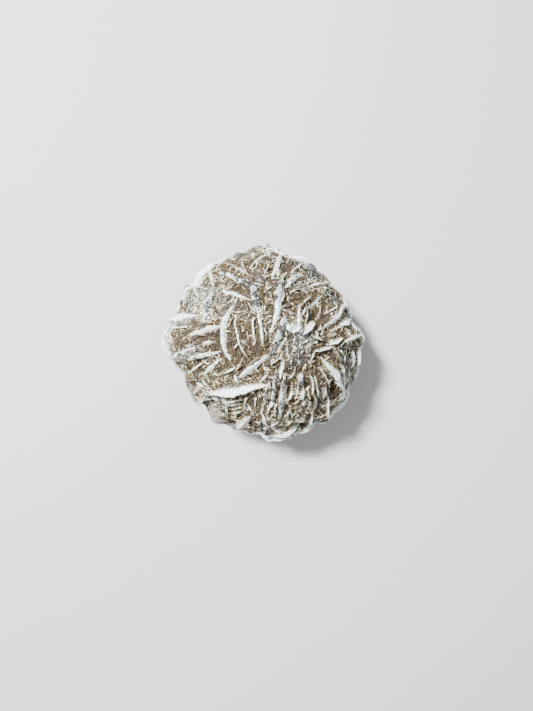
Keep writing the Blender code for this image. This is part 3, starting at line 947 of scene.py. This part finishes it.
# --- Crystals --------------------------------------------------------------------------------


def grainy(point):
    """The shift that gives a crystal its broken, sugary surface at this point."""
    blocks = noise.cell_vector(point / BLOCK_SPACING) - Vector((0.5, 0.5, 0.5))
    place = point / GRAIN_SPACING
    grains = Vector([noise.noise(place + shift) for shift in GRAIN_SHIFTS])
    return grains * GRAIN_HEIGHT + blocks * BLOCK_HEIGHT


def chipped(crest):
    """How much is broken off a crest here, in metres."""
    return CHIP_DEPTH * max(0.0, noise.noise(crest / CHIP_SPACING) - CHIP_FROM)


def ridge_side(body):
    """Where the ridge runs along a crystal's crest, from -1 to 1 across it."""
    return RIDGE_SHARE * noise.cell(body["points"][1] / RIDGE_SPACING) * 2 - RIDGE_SHARE


def face_point(half, deep, side, depth, ridge):
    """A place on a crystal's face: how far out from its middle and how far below its ridge."""
    out = half * (side + ridge * (1 - abs(side)))
    steepest = STEEPEST * abs(out - half * ridge) if abs(side) < FLANK_SIDE else deep
    return out, min(depth * deep, steepest)


def ragged(crest, side):
    """By how much a crystal's edge is wider or narrower here, as a factor."""
    apart = RAG_SHIFT if side > 0 else -RAG_SHIFT
    return 1 + RAG_SHARE * noise.noise(crest / RAG_SPACING + apart)


def add_crystal(piece, body, section, spacing, stain_and_painted_light):
    """Add one lens-shaped crystal with a broken crest, ragged edges and a short root."""
    rings = max(LEAST_RINGS, round(length_of(body) / spacing))
    roughness = 1 - WORN_SMOOTH * body["worn"]
    crest_proud = body.get("crest", CREST_PROUD - SLIM_DULL * max(0.0, 1 - body["width"] / BROAD))
    crest_proud -= body.get("earthy", 0.0)
    ridge = ridge_side(body)
    points, proud, edge, greys, worn = [], [], [], [], []
    for ring in range(rings):
        share = (ring + 0.5) / rings
        grey = body["grey"] * fullness(body, share)
        crest, rise, across = blade_frame(body, share)
        deep = height_here(body, share) + ROOT_DEPTH
        half = spread(body, share)
        chip = chipped(crest) * roughness
        reach = {way: ragged(crest, way) for way in (-1, 1)}
        height = max(height_here(body, share), LEAST_HEIGHT)
        # The crest takes on the patches' tone: partly a stain, partly painted light and painted
        # shade.
        top_proud = crest_proud + stain_and_painted_light * tone_and_painted_light_at(smooth_settle(crest))
        for side, depth in section:
            out, below = face_point(half, deep, side, depth, ridge)
            out *= reach[1 if side > 0 else -1]
            point = crest - rise * (below + chip * (1 - depth)) + across * out
            points.append(point + grainy(point) * roughness)
            proud.append(top_proud - BASE_FADE * min(1.0, below / height) ** FADE_POWER)
            edge.append(abs(side))
            greys.append(grey)
            worn.append(body["worn"] * (1.0 if side * body["lean"] <= 0 else HIDDEN_WORN))
    for end in (0, -1):
        points.append(settle(body["points"][end], -TIP_DIP))
        proud.append(TIP_PROUD)
        edge.append(1.0)
        greys.append(0.0)
        worn.append(body["worn"])
    faces = spindle_faces(rings, len(section))
    tone, speck = body.get("tone", 0.5), body["speck"]
    piece.add(
        points, faces, proud=proud, edge=edge, grey=greys, worn=worn, tone=tone, speck=speck,
    )


def crystal_piece(name, bodies, material, spacing, stain_and_painted_light, section=None):
    """One piece that holds these crystals, each with a cross-section that suits its width.

    The stain share is how far they take on the tone of the sand patches round them, which is partly
    a stain and partly painted light and painted shade.
    """
    piece = Piece(name)
    for body in bodies:
        suited = SLIM_SECTION if body["width"] < SLIM_BELOW else BROAD_SECTION
        add_crystal(piece, body, section or suited, spacing, stain_and_painted_light)
    return piece.finish(material)


# --- Scatter ---------------------------------------------------------------------------------


def any_way(rng, outward):
    """A random direction along the surface that faces outward, of no fixed length."""
    return Matrix.Rotation(rng.uniform(0, math.pi), 3, outward) @ outward.orthogonal()


def random_spot(rng):
    """A random place on the stone, clear of the ground, with its outward direction."""
    while True:
        toward = Vector((rng.gauss(0, 1), rng.gauss(0, 1), rng.gauss(0, 1)))
        spot = settle(CORE_CENTRE + toward)
        if spot.z > CLEAR_OF_GROUND:
            return spot, (spot - CORE_CENTRE).normalized()


def shoulder_depth(side):
    """Depth of a broad crystal's surface below its ridge, at a side from 0 to 1."""
    half = BROAD_SECTION[len(BROAD_SECTION) // 2:]
    for (near, shallow), (far, deep) in zip(half, half[1:]):
        if side <= far:
            return shallow + (deep - shallow) * max(0.0, side - near) / max(far - near, TINY)
    return 1.0


def crest_spot(rng, bodies, weights, sides):
    """A random place on the surface of a crystal's crest, with its outward direction.

    sides is how far from the crest's middle it may lie, in half widths, as (least, most).
    """
    body = rng.choices(bodies, weights)[0]
    share = rng.uniform(*ALONG_CRYSTAL)
    crest, rise, across = blade_frame(body, share)
    side = rng.choice((-1, 1)) * rng.uniform(*sides)
    half = spread(body, share)
    deep = height_here(body, share) + ROOT_DEPTH
    out, below = face_point(half, deep, side, shoulder_depth(abs(side)), ridge_side(body))
    return crest + across * out - rise * below, (rise + across * side).normalized()


def flank_spot(rng, bodies, weights):
    """A random place against a crystal's flank, with its outward direction."""
    body = rng.choices(bodies, weights)[0]
    share = rng.uniform(*ALONG_CRYSTAL)
    crest, rise, across = blade_frame(body, share)
    side = rng.choice((-1, 1))
    out = across * side * spread(body, share) * rng.uniform(*BESIDE_FLANK)
    spot = crest + out - rise * height_here(body, share) * rng.uniform(*DOWN_FLANK)
    return spot, (rise + across * side * FLANK_TILT).normalized()


def direction_finder(bodies):
    """A function that gives the direction of the crystal nearest to a point."""
    tree = kdtree.KDTree(len(bodies))
    for number, body in enumerate(bodies):
        tree.insert(body["points"][1], number)
    tree.balance()

    def nearest(point):
        start, _, end = bodies[tree.find(point)[1]]["points"]
        return end - start

    return nearest


def taken_finder(bodies):
    """A function that says whether a place on the sand lies under or close beside a crystal."""
    tree = kdtree.KDTree(len(bodies) * len(AXIS_SHARES))
    reach = []
    for body in bodies:
        for share in AXIS_SHARES:
            tree.insert(settle(crystal_curve(body, share)), len(reach))
            reach.append(spread(body, share) + CLEAR_BESIDE)
    tree.balance()

    def taken(point):
        _, number, distance = tree.find(point)
        return distance < reach[number]

    return taken


def level_with(direction, outward):
    """The direction, laid flat on the surface that faces outward."""
    flat = direction - outward * direction.dot(outward)
    return flat.normalized() if flat.length > TINY else outward.orthogonal().normalized()


def fill_crystals(nearest, taken, count, seed, share_above, length, width, proud):
    """Crystals between the large ones, mostly in line with those near them."""
    rng = random.Random(seed)
    found = []
    for _ in range(count):
        spot, outward = random_spot(rng)
        if (spot.z > TOP_HEIGHT and rng.random() > share_above) or taken(spot):
            continue
        along = level_with(nearest(spot), outward)
        in_line = rng.random() < FILL_IN_LINE
        turn = rng.gauss(0, FILL_TURN) if in_line else rng.uniform(0, math.pi)
        along = Matrix.Rotation(turn, 3, outward) @ along
        half = along * rng.uniform(*length) / 2
        bow = outward.cross(along) * half.length * rng.uniform(-FILL_BOW, FILL_BOW)
        found.append({
            "points": [spot - half, spot + bow, spot + half],
            "width": rng.uniform(*width),
            "tall": rng.uniform(*proud),
            "lean": math.radians(rng.uniform(-FILL_LEAN, FILL_LEAN)),
            "speck": max(0.0, rng.gauss(0.0, FILL_SPECK)),
            "grey": max(0.0, rng.gauss(0.0, FILL_GREY)),
            "worn": 0.0,
            "tone": rng.random(),
            "crest": rng.uniform(*FILL_CREST),
        })
    return found


def add_lath(piece, rng, middle, along, outward, **values):
    """Add one tiny four-sided crystal, pointed at both ends and slightly bent."""
    across = outward.cross(along).normalized()
    up = along.cross(across)
    tilt = rng.uniform(0, math.pi)
    wide = across * math.cos(tilt) + up * math.sin(tilt)
    thick = along.cross(wide)
    length = rng.uniform(*LATH_LENGTH)
    width = rng.uniform(*LATH_WIDTH)
    waist = middle + up * length * rng.uniform(-LATH_BEND, LATH_BEND)
    points = [
        waist + wide * width / 2,
        waist + thick * width * LATH_THICKNESS,
        waist - wide * width / 2,
        waist - thick * width * LATH_THICKNESS,
        middle - along * length / 2,
        middle + along * length / 2,
    ]
    piece.add(points, spindle_faces(1, 4), tone=rng.random(), **values)


def bareness(spot):
    """How bare of laths the sand is at a spot, from 0 to 1."""
    return clamped(BARE_LEVEL + BARE_GAIN * noise.noise(spot / BARE_SPACING))


def lath_piece(name, material, bodies):
    """Thousands of tiny laths that lie over the sand and against the crystals, all ways."""
    rng = random.Random(LATH_SEED)
    piece = Piece(name)
    for _ in range(LATHS):
        spot, outward = random_spot(rng)
        raised, grey = ground_values(spot)
        bare = max(BARE_SHARE * bareness(spot), BARE_ASH * grey, BARE_BELOW * down_skirt(spot))
        if rng.random() < bare:
            continue
        along = any_way(rng, outward).normalized() + outward * rng.gauss(0, LATH_RISE)
        lift = rng.uniform(0.0, LATH_LIFT)
        middle = spot + outward * (lift + fine_relief(spot))
        # Lifted laths are painted lighter and low-lying ones darker: painted light and painted
        # shade.
        proud = LATH_PROUD + LATH_LIFT_PAINTED_LIGHT * lift / LATH_LIFT + LATH_RAISED * raised
        proud -= LATH_EARTHIER * round_side(spot)
        add_lath(piece, rng, middle, along.normalized(), outward, proud=proud, grey=grey)
    weights = [length_of(body) for body in bodies]
    for _ in range(LATHS_BESIDE):
        spot, outward = flank_spot(rng, bodies, weights)
        if spot.z > CLEAR_OF_GROUND:
            along = any_way(rng, outward).normalized()
            add_lath(piece, rng, spot, along, outward, proud=rng.uniform(*BESIDE_PROUD))
    return piece.finish(material)


def add_grain(piece, rng, middle, size, **values):
    """Add one angular grain."""
    turn = Matrix.Rotation(rng.uniform(0, math.pi), 3, Vector((rng.random(), rng.random(), 1)))
    corners = [(1, 0, 0), (0, 1, 0), (-1, 0, 0), (0, -1, 0), (0, 0, -1), (0, 0, 1)]
    points = [
        middle + turn @ Vector(corner) * size * rng.uniform(*CORNER_SIZE) for corner in corners
    ]
    piece.add(points, spindle_faces(1, 4), **values)


def grain_piece(name, material, bodies):
    """Sand grains that stick to the stone and crumbs on the edges of its crystals."""
    rng = random.Random(GRAIN_SEED)
    piece = Piece(name)
    for _ in range(GRAINS):
        spot, outward = random_spot(rng)
        size = rng.uniform(*GRAIN_SIZE)
        middle = spot + outward * (fine_relief(spot) + size * GRAIN_OUT)
        raised, grey = ground_values(spot)
        proud = GRAIN_PROUD + raised
        add_grain(piece, rng, middle, size, proud=proud, tone=rng.random(), grey=grey)
    weights = [length_of(body) for body in bodies]
    for _ in range(CRUMBS):
        spot, outward = crest_spot(rng, bodies, weights, CRUMB_SIDES)
        if spot.z > CLEAR_OF_GROUND:
            size = rng.uniform(*CRUMB_SIZE)
            proud = rng.uniform(*CRUMB_PROUD)
            add_grain(piece, rng, spot, size, proud=proud, tone=rng.random())
    return piece.finish(material)


def dark_piece(name, material, bodies):
    """Dark grains, in clusters on the crystals that carry them."""
    rng = random.Random(DARK_SEED)
    piece = Piece(name)
    carriers = [body for body in bodies if body["speck"] > DARK_CARRIER]
    weights = [body["speck"] * body["width"] * length_of(body) for body in carriers]
    for _ in range(DARK_GRAINS):
        spot, outward = crest_spot(rng, carriers, weights, DARK_SIDES)
        clustered = noise.noise(spot / CLUSTER_SPACING) > 0.0
        if spot.z > CLEAR_OF_GROUND and clustered:
            add_grain(piece, rng, spot, rng.uniform(*DARK_SIZE), tone=rng.random())
    for _ in range(CRUST_GRAINS):
        spot, outward = random_spot(rng)
        if ground_values(spot)[1] > CRUST_GREY:
            size = rng.uniform(*DARK_SIZE)
            middle = spot + outward * (fine_relief(spot) + size * DARK_OUT)
            add_grain(piece, rng, middle, size, tone=rng.random())
    return piece.finish(material)


# --- Materials -------------------------------------------------------------------------------


def feed(tree, socket, value):
    """Link a socket to this one, or set it to this value."""
    if isinstance(value, bpy.types.NodeSocket):
        tree.links.new(value, socket)
    else:
        socket.default_value = value


def node(tree, kind, inputs=None, **settings):
    """A new node with these settings and inputs."""
    made = tree.nodes.new(kind)
    for name, value in settings.items():
        setattr(made, name, value)
    for name, value in (inputs or {}).items():
        feed(tree, made.inputs[name], value)
    return made


def maths(tree, operation, first, second):
    """The socket of a sum on two values, each a socket or a number."""
    return node(tree, "ShaderNodeMath", {0: first, 1: second}, operation=operation).outputs[0]


def times(tree, first, second):
    """The socket of a product of two values, each a socket or a number."""
    return maths(tree, "MULTIPLY", first, second)


def line(tree, value, slope, start):
    """The socket of slope times a value, plus start."""
    return maths(tree, "ADD", times(tree, value, slope), start)


def ease(tree, value, start, stop):
    """A socket that eases from 0 at start to 1 at stop."""
    inputs = {"Value": value, "From Min": start, "From Max": stop}
    return node(tree, "ShaderNodeMapRange", inputs, interpolation_type="SMOOTHSTEP").outputs[0]


def blend(tree, factor, first, second):
    """The socket of a mix of two colours, each a socket or a value."""
    inputs = {"Factor": factor, "A_Color": first, "B_Color": second}
    mixer = node(tree, "ShaderNodeMix", data_type="RGBA")
    for socket in mixer.inputs:
        if socket.identifier in ("Factor_Float", "A_Color", "B_Color"):
            feed(tree, socket, inputs[socket.identifier.replace("_Float", "")])
    return next(socket for socket in mixer.outputs if socket.identifier == "Result_Color")


def cover(tree, colour, over, mask, share):
    """A colour covered by another where the mask says, by this share at most."""
    return blend(tree, times(tree, mask, share), colour, over)


def stone_noise(tree, spacing, detail=2.0):
    """The value of a noise that stays with the stone; spacing is a socket or in metres."""
    inputs = {
        "Vector": node(tree, "ShaderNodeTexCoord").outputs["Object"],
        "Scale": maths(tree, "DIVIDE", 1.0, spacing),
        "Detail": detail,
    }
    return node(tree, "ShaderNodeTexNoise", inputs).outputs[0]


def noise_mask(tree, spacing, start, stop):
    """A mask of ragged patches: 0 where the noise is at start, 1 where it is at stop."""
    return ease(tree, stone_noise(tree, spacing, detail=3.0), start, stop)


def new_group(name, takes, gives):
    """An empty node group with these inputs and outputs, each as name: kind of socket."""
    group = bpy.data.node_groups.new(name, "ShaderNodeTree")
    for way, sockets in (("INPUT", takes), ("OUTPUT", gives)):
        for label, kind in sockets.items():
            group.interface.new_socket(name=label, in_out=way, socket_type=f"NodeSocket{kind}")
    return group, node(group, "NodeGroupInput").outputs, node(group, "NodeGroupOutput").inputs


def uneven_height_group():
    """Height made uneven by patches, grains and the tone of each small crystal."""
    names = ("Height", "Tone", "Patches", "Grain Spacing", "Grains", "Tones")
    takes = dict.fromkeys(names, "Float")
    group, given, result = new_group("uneven_height", takes, {"Height": "Float"})
    height = given["Height"]
    parts = [
        (stone_noise(group, PATCH_SPACING), given["Patches"]),
        (stone_noise(group, given["Grain Spacing"]), given["Grains"]),
        (given["Tone"], given["Tones"]),
    ]
    for value, share in parts:
        around_zero = maths(group, "SUBTRACT", value, 0.5)
        height = maths(group, "ADD", height, times(group, around_zero, share))
    feed(group, result["Height"], height)
    return group


def height_tint_group():
    """Colour by height: hollow, earth, cream, then crest; Ash turns its lower colours ashy grey."""
    names = ("Hollow", "Earth", "Cream", "Crest")
    takes = {"Height": "Float", "Ash": "Float", **{name: "Color" for name in names}}
    group, given, result = new_group("height_tint", takes, {"Color": "Color"})
    ashy = {"Earth": DULL_SLATE, "Cream": ASH_GREY, "Crest": WHITE}
    steps = (("Earth", 0.0, 0.28), ("Cream", 0.28, 0.62), ("Crest", 0.60, 0.92))
    colour, ash = given["Hollow"], SLATE
    for name, start, stop in steps:
        here = ease(group, given["Height"], start, stop)
        colour = blend(group, here, colour, given[name])
        ash = blend(group, here, ash, ashy[name])
    feed(group, result["Color"], blend(group, given["Ash"], colour, ash))
    return group


def mineral_specks_group():
    """Mask of small round specks; Amount is the share of places that hold one."""
    takes = {"Amount": "Float", "Spacing": "Float"}
    group, given, result = new_group("mineral_specks", takes, {"Mask": "Float"})
    place = node(group, "ShaderNodeTexCoord").outputs["Object"]
    scale = maths(group, "DIVIDE", 1.0, given["Spacing"])
    cells = node(group, "ShaderNodeTexVoronoi", {"Vector": place, "Scale": scale}).outputs
    channels = node(group, "ShaderNodeSeparateColor", {"Color": cells["Color"]}).outputs
    holds = maths(group, "LESS_THAN", channels[0], given["Amount"])
    inside = ease(group, cells["Distance"], start=0.55, stop=0.30)
    feed(group, result["Mask"], times(group, holds, inside))
    return group


def thin_film_group():
    """Mask of a thin film that lies in patches; Amount is about the share it covers."""
    takes = {"Amount": "Float", "Spacing": "Float"}
    group, given, result = new_group("thin_film", takes, {"Mask": "Float"})
    level = maths(group, "SUBTRACT", FILM_LEVEL, times(group, given["Amount"], FILM_DROP))
    over = maths(group, "SUBTRACT", stone_noise(group, given["Spacing"], detail=4.0), level)
    feed(group, result["Mask"], ease(group, over, start=0.0, stop=0.10))
    return group


def grain_bump_group():
    """Normal of a fine grainy surface."""
    takes = {"Spacing": "Float", "Strength": "Float", "Depth": "Float"}
    group, given, result = new_group("grain_bump", takes, {"Normal": "Vector"})
    inputs = {
        "Strength": given["Strength"],
        "Distance": given["Depth"],
        "Height": stone_noise(group, given["Spacing"], detail=3.0),
    }
    feed(group, result["Normal"], node(group, "ShaderNodeBump", inputs).outputs[0])
    return group


def place_group(tree, group, inputs):
    """The first output of a group placed in a material with its own values."""
    made = node(tree, "ShaderNodeGroup", node_tree=group)
    for name, value in inputs.items():
        feed(tree, made.inputs[name], value)
    return made.outputs[0]


def stone_material(name, roughness):
    """A new material with its shader: the node tree and the shader."""
    material = bpy.data.materials.new(name)
    material.use_nodes = True
    shader = material.node_tree.nodes["Principled BSDF"]
    shader.inputs["Roughness"].default_value = roughness
    return material, material.node_tree, shader


def attribute(tree, name):
    """The socket of a per-point value."""
    return node(tree, "ShaderNodeAttribute", attribute_name=name).outputs["Fac"]


def sandy_ground(groups):
    """The sand that binds the stone: brown in hollows, darkened there as painted shade, tan above,
    paler and greyer in crusts.
    """
    material, tree, shader = stone_material("sandy_ground", roughness=0.92)
    height = place_group(tree, groups["uneven_height"], {
        "Height": attribute(tree, "proud"), "Tone": 0.5, "Tones": 0.0, "Patches": 1.2,
        "Grain Spacing": 0.0009, "Grains": 4.6,
    })
    grey = attribute(tree, "grey")
    ashy = times(tree, noise_mask(tree, spacing=0.0016, start=0.54, stop=0.66), MOST_ASH)
    colour = place_group(tree, groups["height_tint"], {
        "Height": height, "Ash": maths(tree, "MAXIMUM", grey, ashy),
        "Hollow": DEEP_BROWN, "Earth": TAN, "Cream": CREAM, "Crest": DRY_SAND,
    })
    pale = place_group(tree, groups["mineral_specks"], {"Amount": 0.26, "Spacing": 0.0006})
    colour = cover(tree, colour, CREAM, mask=pale, share=0.8)
    specks = place_group(tree, groups["mineral_specks"], {
        "Amount": line(tree, grey, slope=0.2, start=0.24), "Spacing": 0.0007,
    })
    feed(tree, shader.inputs["Base Color"], blend(tree, specks, colour, DEEP_BROWN))
    feed(tree, shader.inputs["Normal"], place_group(tree, groups["grain_bump"], {
        "Spacing": 0.0003, "Strength": 0.8, "Depth": 0.0002,
    }))
    return material


def crystal_gypsum(groups):
    """Crystals: white crests, sandy or smooth pinkish flanks, some with a clear grey middle."""
    material, tree, shader = stone_material("crystal_gypsum", roughness=0.7)
    proud, worn = attribute(tree, "proud"), attribute(tree, "worn")
    height = place_group(tree, groups["uneven_height"], {
        "Height": proud, "Tone": 0.5, "Tones": 0.0, "Patches": 1.0,
        "Grain Spacing": 0.00042, "Grains": 1.3,
    })
    warm = noise_mask(tree, spacing=0.0006, start=0.50, stop=0.68)
    colour = place_group(tree, groups["height_tint"], {
        "Height": height, "Ash": 0.0, "Hollow": EARTH_BROWN, "Earth": TAN, "Cream": CREAM,
        "Crest": blend(tree, warm, WHITE, IVORY),
    })
    below_crest = maths(tree, "SUBTRACT", proud, times(tree, worn, WORN_REACH))
    flank = times(tree, ease(tree, below_crest, start=0.95, stop=0.55), worn)
    smooth = blend(tree, ease(tree, height, start=0.0, stop=0.9), UMBER, PINKISH_BEIGE)
    colour = blend(tree, flank, colour, smooth)
    cloudy = noise_mask(tree, spacing=0.0007, start=0.58, stop=0.42)
    colour = cover(tree, colour, DULL_GYPSUM, mask=cloudy, share=0.5)
    inner = ease(tree, attribute(tree, "edge"), start=0.85, stop=0.35)
    clear = times(tree, inner, attribute(tree, "grey"))
    colour = cover(tree, colour, BLUE_GREY, mask=clear, share=0.85)
    dull = place_group(tree, groups["mineral_specks"], {"Amount": 0.20, "Spacing": 0.00048})
    colour = cover(tree, colour, DULL_GYPSUM, mask=dull, share=0.6)
    film = place_group(tree, groups["thin_film"], {"Amount": 0.36, "Spacing": 0.0007})
    not_flank = maths(tree, "SUBTRACT", 1.0, flank)
    colour = cover(tree, colour, SAND_FILM, mask=times(tree, film, not_flank), share=0.4)
    specks = place_group(tree, groups["mineral_specks"], {
        "Amount": line(tree, attribute(tree, "speck"), slope=0.38, start=0.02), "Spacing": 0.00055,
    })
    feed(tree, shader.inputs["Base Color"], blend(tree, specks, colour, DARK_MINERAL))
    gloss = {"Value": film, "To Min": 0.40, "To Max": 0.85}
    feed(tree, shader.inputs["Roughness"], node(tree, "ShaderNodeMapRange", gloss).outputs[0])
    feed(tree, shader.inputs["Normal"], place_group(tree, groups["grain_bump"], {
        "Spacing": 0.00028, "Strength": 0.7, "Depth": 0.00015,
    }))
    return material


def lath_gypsum(groups):
    """Small crystals and laths: from tan through cream to white, each in its own tone."""
    material, tree, shader = stone_material("lath_gypsum", roughness=0.8)
    height = place_group(tree, groups["uneven_height"], {
        "Height": attribute(tree, "proud"), "Tone": attribute(tree, "tone"), "Tones": 2.7,
        "Patches": 0.6, "Grain Spacing": 0.00042, "Grains": 0.8,
    })
    colour = place_group(tree, groups["height_tint"], {
        "Height": height, "Ash": attribute(tree, "grey"),
        "Hollow": EARTH_BROWN, "Earth": TAN, "Cream": CREAM, "Crest": PALE_STRAW,
    })
    film = place_group(tree, groups["thin_film"], {"Amount": 0.3, "Spacing": 0.0005})
    colour = cover(tree, colour, SAND_FILM, mask=film, share=0.4)
    feed(tree, shader.inputs["Base Color"], colour)
    feed(tree, shader.inputs["Normal"], place_group(tree, groups["grain_bump"], {
        "Spacing": 0.0002, "Strength": 0.5, "Depth": 0.0001,
    }))
    return material


def sand_grain(groups):
    """Sand grains and crumbs: brown, tan, cream and white ones, mixed."""
    material, tree, shader = stone_material("sand_grain", roughness=0.75)
    height = place_group(tree, groups["uneven_height"], {
        "Height": attribute(tree, "proud"), "Tone": attribute(tree, "tone"), "Tones": 2.3,
        "Patches": 0.2, "Grain Spacing": 0.00042, "Grains": 0.2,
    })
    colour = place_group(tree, groups["height_tint"], {
        "Height": height, "Ash": attribute(tree, "grey"),
        "Hollow": UMBER, "Earth": TAN, "Cream": CREAM, "Crest": PALE_STRAW,
    })
    feed(tree, shader.inputs["Base Color"], colour)
    return material


def dark_mineral():
    """Dark grains, from near black to brown-grey."""
    material, tree, shader = stone_material("dark_mineral", roughness=0.5)
    colour = blend(tree, attribute(tree, "tone"), DARK_MINERAL, SLATE)
    feed(tree, shader.inputs["Base Color"], colour)
    return material


# --- Stage -----------------------------------------------------------------------------------


def add_floor():
    """A plain pale floor."""
    mesh = bmesh.new()
    bmesh.ops.create_grid(mesh, x_segments=1, y_segments=1, size=FLOOR_HALF)
    data = bpy.data.meshes.new("floor")
    mesh.to_mesh(data)
    mesh.free()
    paint = bpy.data.materials.new("pale_floor")
    paint.use_nodes = True
    shader = paint.node_tree.nodes["Principled BSDF"]
    shader.inputs["Base Color"].default_value = FLOOR_COLOUR
    shader.inputs["Roughness"].default_value = FLOOR_ROUGHNESS
    data.materials.append(paint)
    floor = bpy.data.objects.new("floor", data)
    bpy.context.scene.collection.objects.link(floor)


def add_key_light():
    """A soft square light, high up on the stone's -X, +Y side, that shines at it."""
    lamp = bpy.data.lights.new("key_light", "AREA")
    lamp.size = LIGHT_SIZE
    lamp.energy = LIGHT_POWER
    made = bpy.data.objects.new("key_light", lamp)
    made.location = LIGHT_PLACE
    made.rotation_euler = (CORE_CENTRE - Vector(LIGHT_PLACE)).to_track_quat("-Z", "Y").to_euler()
    bpy.context.scene.collection.objects.link(made)


def add_camera():
    """A camera straight above the stone."""
    lens = bpy.data.cameras.new("camera")
    lens.sensor_width = SENSOR_WIDTH
    lens.lens = SENSOR_WIDTH * FOCAL_LENGTH / VIEW_HEIGHT
    lens.shift_x = STONE_LEFT / VIEW_HEIGHT
    lens.shift_y = -STONE_UP / VIEW_HEIGHT
    lens.clip_start = NEAR_CLIP
    camera = bpy.data.objects.new("camera", lens)
    camera.location = (0, 0, EYE_HEIGHT)
    bpy.context.scene.collection.objects.link(camera)
    bpy.context.scene.camera = camera


def set_world():
    """Soft even light from all round."""
    world = bpy.data.worlds.new("soft_studio")
    world.use_nodes = True
    sky = world.node_tree.nodes["Background"]
    sky.inputs["Color"].default_value = SKY_COLOUR
    sky.inputs["Strength"].default_value = SKY_STRENGTH
    bpy.context.scene.world = world


# --- The stone -------------------------------------------------------------------------------


def finish_groups():
    """The node groups that the finishes share, by name."""
    makers = (
        uneven_height_group, height_tint_group, mineral_specks_group, thin_film_group,
        grain_bump_group,
    )
    return {group.name: group for group in (make() for make in makers)}


def add_stone():
    """The stone: its sandy matrix, its crystals from large to small, its laths and its grains."""
    groups = finish_groups()
    gypsum = crystal_gypsum(groups)
    slivers = lath_gypsum(groups)
    top = plan_crystals()
    sides = side_crystals() + rim_crystals()
    large = top + sides
    nearest, taken = direction_finder(large), taken_finder(top)
    fills = fill_crystals(nearest, taken, *SMALL_FILLS)
    fills += fill_crystals(nearest, taken, *MEDIUM_FILLS)
    sandy_matrix(sandy_ground(groups))
    crystal_piece("top_crystals", top, gypsum, TOP_SPACING, TOP_STAIN_AND_PAINTED_LIGHT)
    crystal_piece("side_crystals", sides, gypsum, SIDE_SPACING, SIDE_STAIN_AND_PAINTED_LIGHT)
    crystal_piece("fill_crystals", fills, gypsum, FILL_SPACING, FILL_STAIN_AND_PAINTED_LIGHT, SMALL_SECTION)
    lath_piece("laths", slivers, large)
    grain_piece("sand_grains", sand_grain(groups), large)
    dark_piece("dark_grains", dark_mineral(), large)


add_stone()
add_floor()
add_key_light()
add_camera()
set_world()
